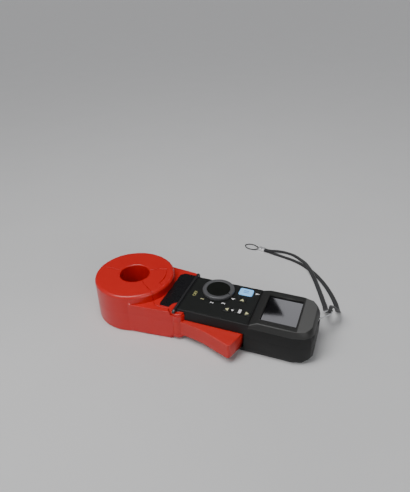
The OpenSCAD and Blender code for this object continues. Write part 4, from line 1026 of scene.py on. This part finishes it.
drive_screws("head_screws", "head_cross_screws", "body", 2 * MM)
drive_screws("housing_screws", "housing_cross_screws", "body", 2 * MM)
drive_screws("cover_screw", "cover_cross_screw", "body", 1.2 * MM)
drive_screws("jaw_screws", "jaw_cross_screws", "jaw", 2 * MM)
finish_nodes(zinc, "tie_screws", "board_screws")


# ---------------------------------------------------------------- magnetic cores
# Each jaw half holds two ring cores wound from thin strip, a sheet shield between them
# and nylon saddles. Two coils of enamelled wire sit on the fixed half.
def plan_radius(at):
    """Distance from the window's axis."""
    flat = at.node("ShaderNodeVectorMath", {"operation": "MULTIPLY"}, {0: at, 1: (1, 1, 0)})
    return flat.node("ShaderNodeVectorMath", {"operation": "LENGTH"}, {0: flat}, out="Value")


wound_strip, strip_at, strip_shader = new_finish("wound_strip")
laps = (plan_radius(strip_at) * (math.tau / (0.3 * MM))).sine() * 0.5 + 0.5
lacquer = strip_at.noise(220.0, 4.0)
(laps * 0.6 + lacquer * 0.4).clamped().between(tone(0.06, 0.06, 0.065), tone(0.2, 0.2, 0.21)) \
    .into(strip_shader, "Base Color")
(lacquer * 0.2 + 0.3).into(strip_shader, "Roughness")
laps.relief(0.03 * MM, 0.6).into(strip_shader, "Normal")
strip_shader.inputs["Metallic"].default_value = 0.7
finish_nodes(wound_strip, "fixed_core_sense", "fixed_core_drive", "moving_core_sense",
             "moving_core_drive")
finish_nodes(bright_steel("shield_sheet", tone(0.6, 0.6, 0.62), (4, 1, 1)),
             "fixed_shield", "moving_shield")
finish_nodes(moulded("natural_nylon", tone(0.66, 0.62, 0.50), 0.45, 1200.0, 0.02 * MM, 0.06),
             "fixed_core_saddles", "moving_core_saddles", "lead_connector")
copper, copper_at, copper_shader = new_finish("enamelled_copper")
around = copper_at.maths("ARCTAN2", copper_at.part("Y"), copper_at.part("X"))
turns = (around * 400.0).sine() * 0.5 + 0.5
(turns * 0.7 + copper_at.noise(260.0, 3.0) * 0.3).clamped() \
    .between(tone(0.16, 0.05, 0.015), tone(0.55, 0.22, 0.07)).into(copper_shader, "Base Color")
(0.25 + turns * 0.15).into(copper_shader, "Roughness")
turns.relief(0.08 * MM, 0.8).into(copper_shader, "Normal")
copper_shader.inputs["Metallic"].default_value = 0.6
finish_nodes(copper, "sense_coil", "drive_coil")
finish_nodes(moulded("lead_jacket", tone(0.55, 0.36, 0.04), 0.4, 1600.0, 0.01 * MM, 0.1),
             "coil_leads")

# ---------------------------------------------------------------- hinge and spring
# The jaw lever turns on a ground steel pin in a bronze bush. Two dowels join its parts,
# and a coil spring of black wire closes the jaws.
finish_nodes(bright_steel("ground_steel", tone(0.56, 0.56, 0.58), (1, 1, 0.2)),
             "hinge_pin", "trigger_dowels", "strap_pin", "selector_clip")
finish_nodes(bright_steel("sintered_bronze", tone(0.50, 0.32, 0.13)), "hinge_bush")
spring_wire = bright_steel("spring_wire", tone(0.26, 0.26, 0.27))
spring_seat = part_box("jaw_return_spring")[1].y
# It is drawn a tenth shorter, so that it stays behind the trigger's face when pressed.
squeezed = bmesh.new()
squeezed.from_mesh(nodes["jaw_return_spring"].data)
for corner in squeezed.verts:
    corner.co.y = spring_seat + (corner.co.y - spring_seat) * 0.9
dress(link_mesh("closing_spring", squeezed), "jaw_return_spring", "body", spring_wire)

# ---------------------------------------------------------------- board
# A green glass-fibre board carries the chips, the buzzer, the key mat and the selector's
# gold contact ring. A natural acetal shaft passes through it.
resist, resist_at, resist_shader = new_finish("solder_resist")
tracks = (resist_at.part("X") * 2600.0).sine() * (resist_at.part("Y") * 1900.0).sine()
weave = resist_at.noise(700.0, 2.0)
((tracks > 0.35) * 0.6 + weave * 0.4).clamped() \
    .between(tone(0.006, 0.075, 0.025), tone(0.018, 0.17, 0.06)) \
    .into(resist_shader, "Base Color")
(weave * 0.1 + 0.25).into(resist_shader, "Roughness")
(tracks > 0.35).relief(0.03 * MM, 0.5).into(resist_shader, "Normal")
finish_nodes(resist, "main_board")
finish_nodes(moulded("mould_black", tone(0.014, 0.014, 0.015), 0.5, 1400.0, 0.02 * MM),
             "board_chips", "buzzer")
finish_nodes(bright_steel("gold_contacts", tone(0.72, 0.50, 0.18)), "selector_stator")
finish_nodes(moulded("acetal", tone(0.62, 0.60, 0.53), 0.35, 1800.0, 0.01 * MM, 0.05),
             "selector_shaft")
finish_nodes(moulded("silicone", tone(0.36, 0.36, 0.37), 0.6, 900.0, 0.02 * MM, 0.08),
             "keypad_mat")

# ---------------------------------------------------------------- cells
# Four plain jacketed cells lie side by side in the back housing, under the battery cover.
# Sprung contacts of nickel-plated steel press on both ends of each.
jacket, jacket_at, jacket_shader = new_finish("cell_jacket")
wrap = jacket_at.noise(80.0, 3.0)
cell_len = 50.5 * MM
seam_bands = (jacket_at.part("X") * (math.tau / cell_len)).sine() * 0.5 + 0.5
(seam_bands * 0.5 + wrap * 0.5).clamped() \
    .between(tone(0.05, 0.07, 0.10), tone(0.14, 0.17, 0.21)).into(jacket_shader, "Base Color")
(wrap * 0.12 + 0.22).into(jacket_shader, "Roughness")
wrap.relief(0.01 * MM, 0.5).into(jacket_shader, "Normal")
finish_nodes(jacket, "battery_cells")
finish_nodes(bright_steel("nickel_plate", tone(0.6, 0.58, 0.54)), "battery_contacts")

# ---------------------------------------------------------------- floor and light
# A plain pale floor, an overhead soft box, a dim fill, and a high pale card far behind
# that only the display window mirrors.
floor_half = 12.0
floor_mesh = bpy.data.meshes.new("floor")
floor_mesh.from_pydata([(x, y, floor_z) for x, y in oblong(floor_half, floor_half)],
                       [], [(0, 1, 2, 3)])
floor = add_object("floor", floor_mesh)
paper, paper_at, paper_shader = new_finish("pale_paper")
paper_at.noise(12.0).between(tone(0.60, 0.60, 0.60), tone(0.63, 0.63, 0.63)) \
    .into(paper_shader, "Base Color")
paper_shader.inputs["Roughness"].default_value = 0.9
# The sweep is lit from below beyond the lamps' reach, so that it stays pale to its edge.
away = paper_at.node("ShaderNodeVectorMath", {"operation": "DISTANCE"},
                     {0: paper_at, 1: (-0.05, -0.28, floor_z)}, out="Value")
reached = paper_at.maths("POWER", away * away * 1.3 + 1.0, -2.0)
beyond = (0.8 - reached).clamped()
beyond.between(tone(0, 0, 0), tone(0.36, 0.36, 0.363)).into(paper_shader, "Emission Color")
paper_shader.inputs["Emission Strength"].default_value = 1.0
floor_mesh.materials.append(paper)

# The card covers a four-sided patch of the sky, less one triangle at its near left.
world = bpy.data.worlds.new("studio")
bpy.context.scene.world = world
world.use_nodes = True
sky_tree = world.node_tree
sky = Wire(sky_tree, sky_tree.nodes.new("ShaderNodeTexCoord").outputs["Generated"])
steep = sky.part("Z")
card_x = (sky.part("X") / steep + 0.257) * (1 / 0.123)
card_y = (sky.part("Y") / steep - 1.134) * (1 / 0.144)
inside = (steep > 0.1) * (card_x > -0.25) * (1.35 - card_x > 0.0) \
    * (card_y > -0.3) * (1.35 - card_y > 0.0)
dark_corner = (card_y - card_x * 0.18 > 0.24) * (1.14 - card_x * 1.34 - card_y > 0.0)
lit = inside * (1.0 - dark_corner)
backdrop = sky_tree.nodes["Background"]
dim = (sky.part("Y") * 1.6 + 0.4).clamped() \
    .between(tone(0.19, 0.195, 0.205), tone(0.05, 0.05, 0.055))
lit.between(dim, tone(3.5, 3.5, 3.75)).into(backdrop, "Color")
backdrop.inputs["Strength"].default_value = 1.0


def lamp(name, place, aim, size, power):
    light = bpy.data.lights.new(name, "AREA")
    light.shape = "RECTANGLE"
    light.size, light.size_y = size
    light.energy = power
    holder = add_object(name, light)
    holder.location = place
    holder.rotation_mode = "QUATERNION"
    holder.rotation_quaternion = (Vector(place) - Vector(aim)).to_track_quat("Z", "Y")


lamp("soft_box", (-0.12, -0.28, 0.85), (0.08, 0.0, 0), (0.34, 0.9), 8.6)
lamp("fill", (0.75, -0.65, 0.4), (0.1, 0.0, 0), (0.4, 0.4), 2.2)
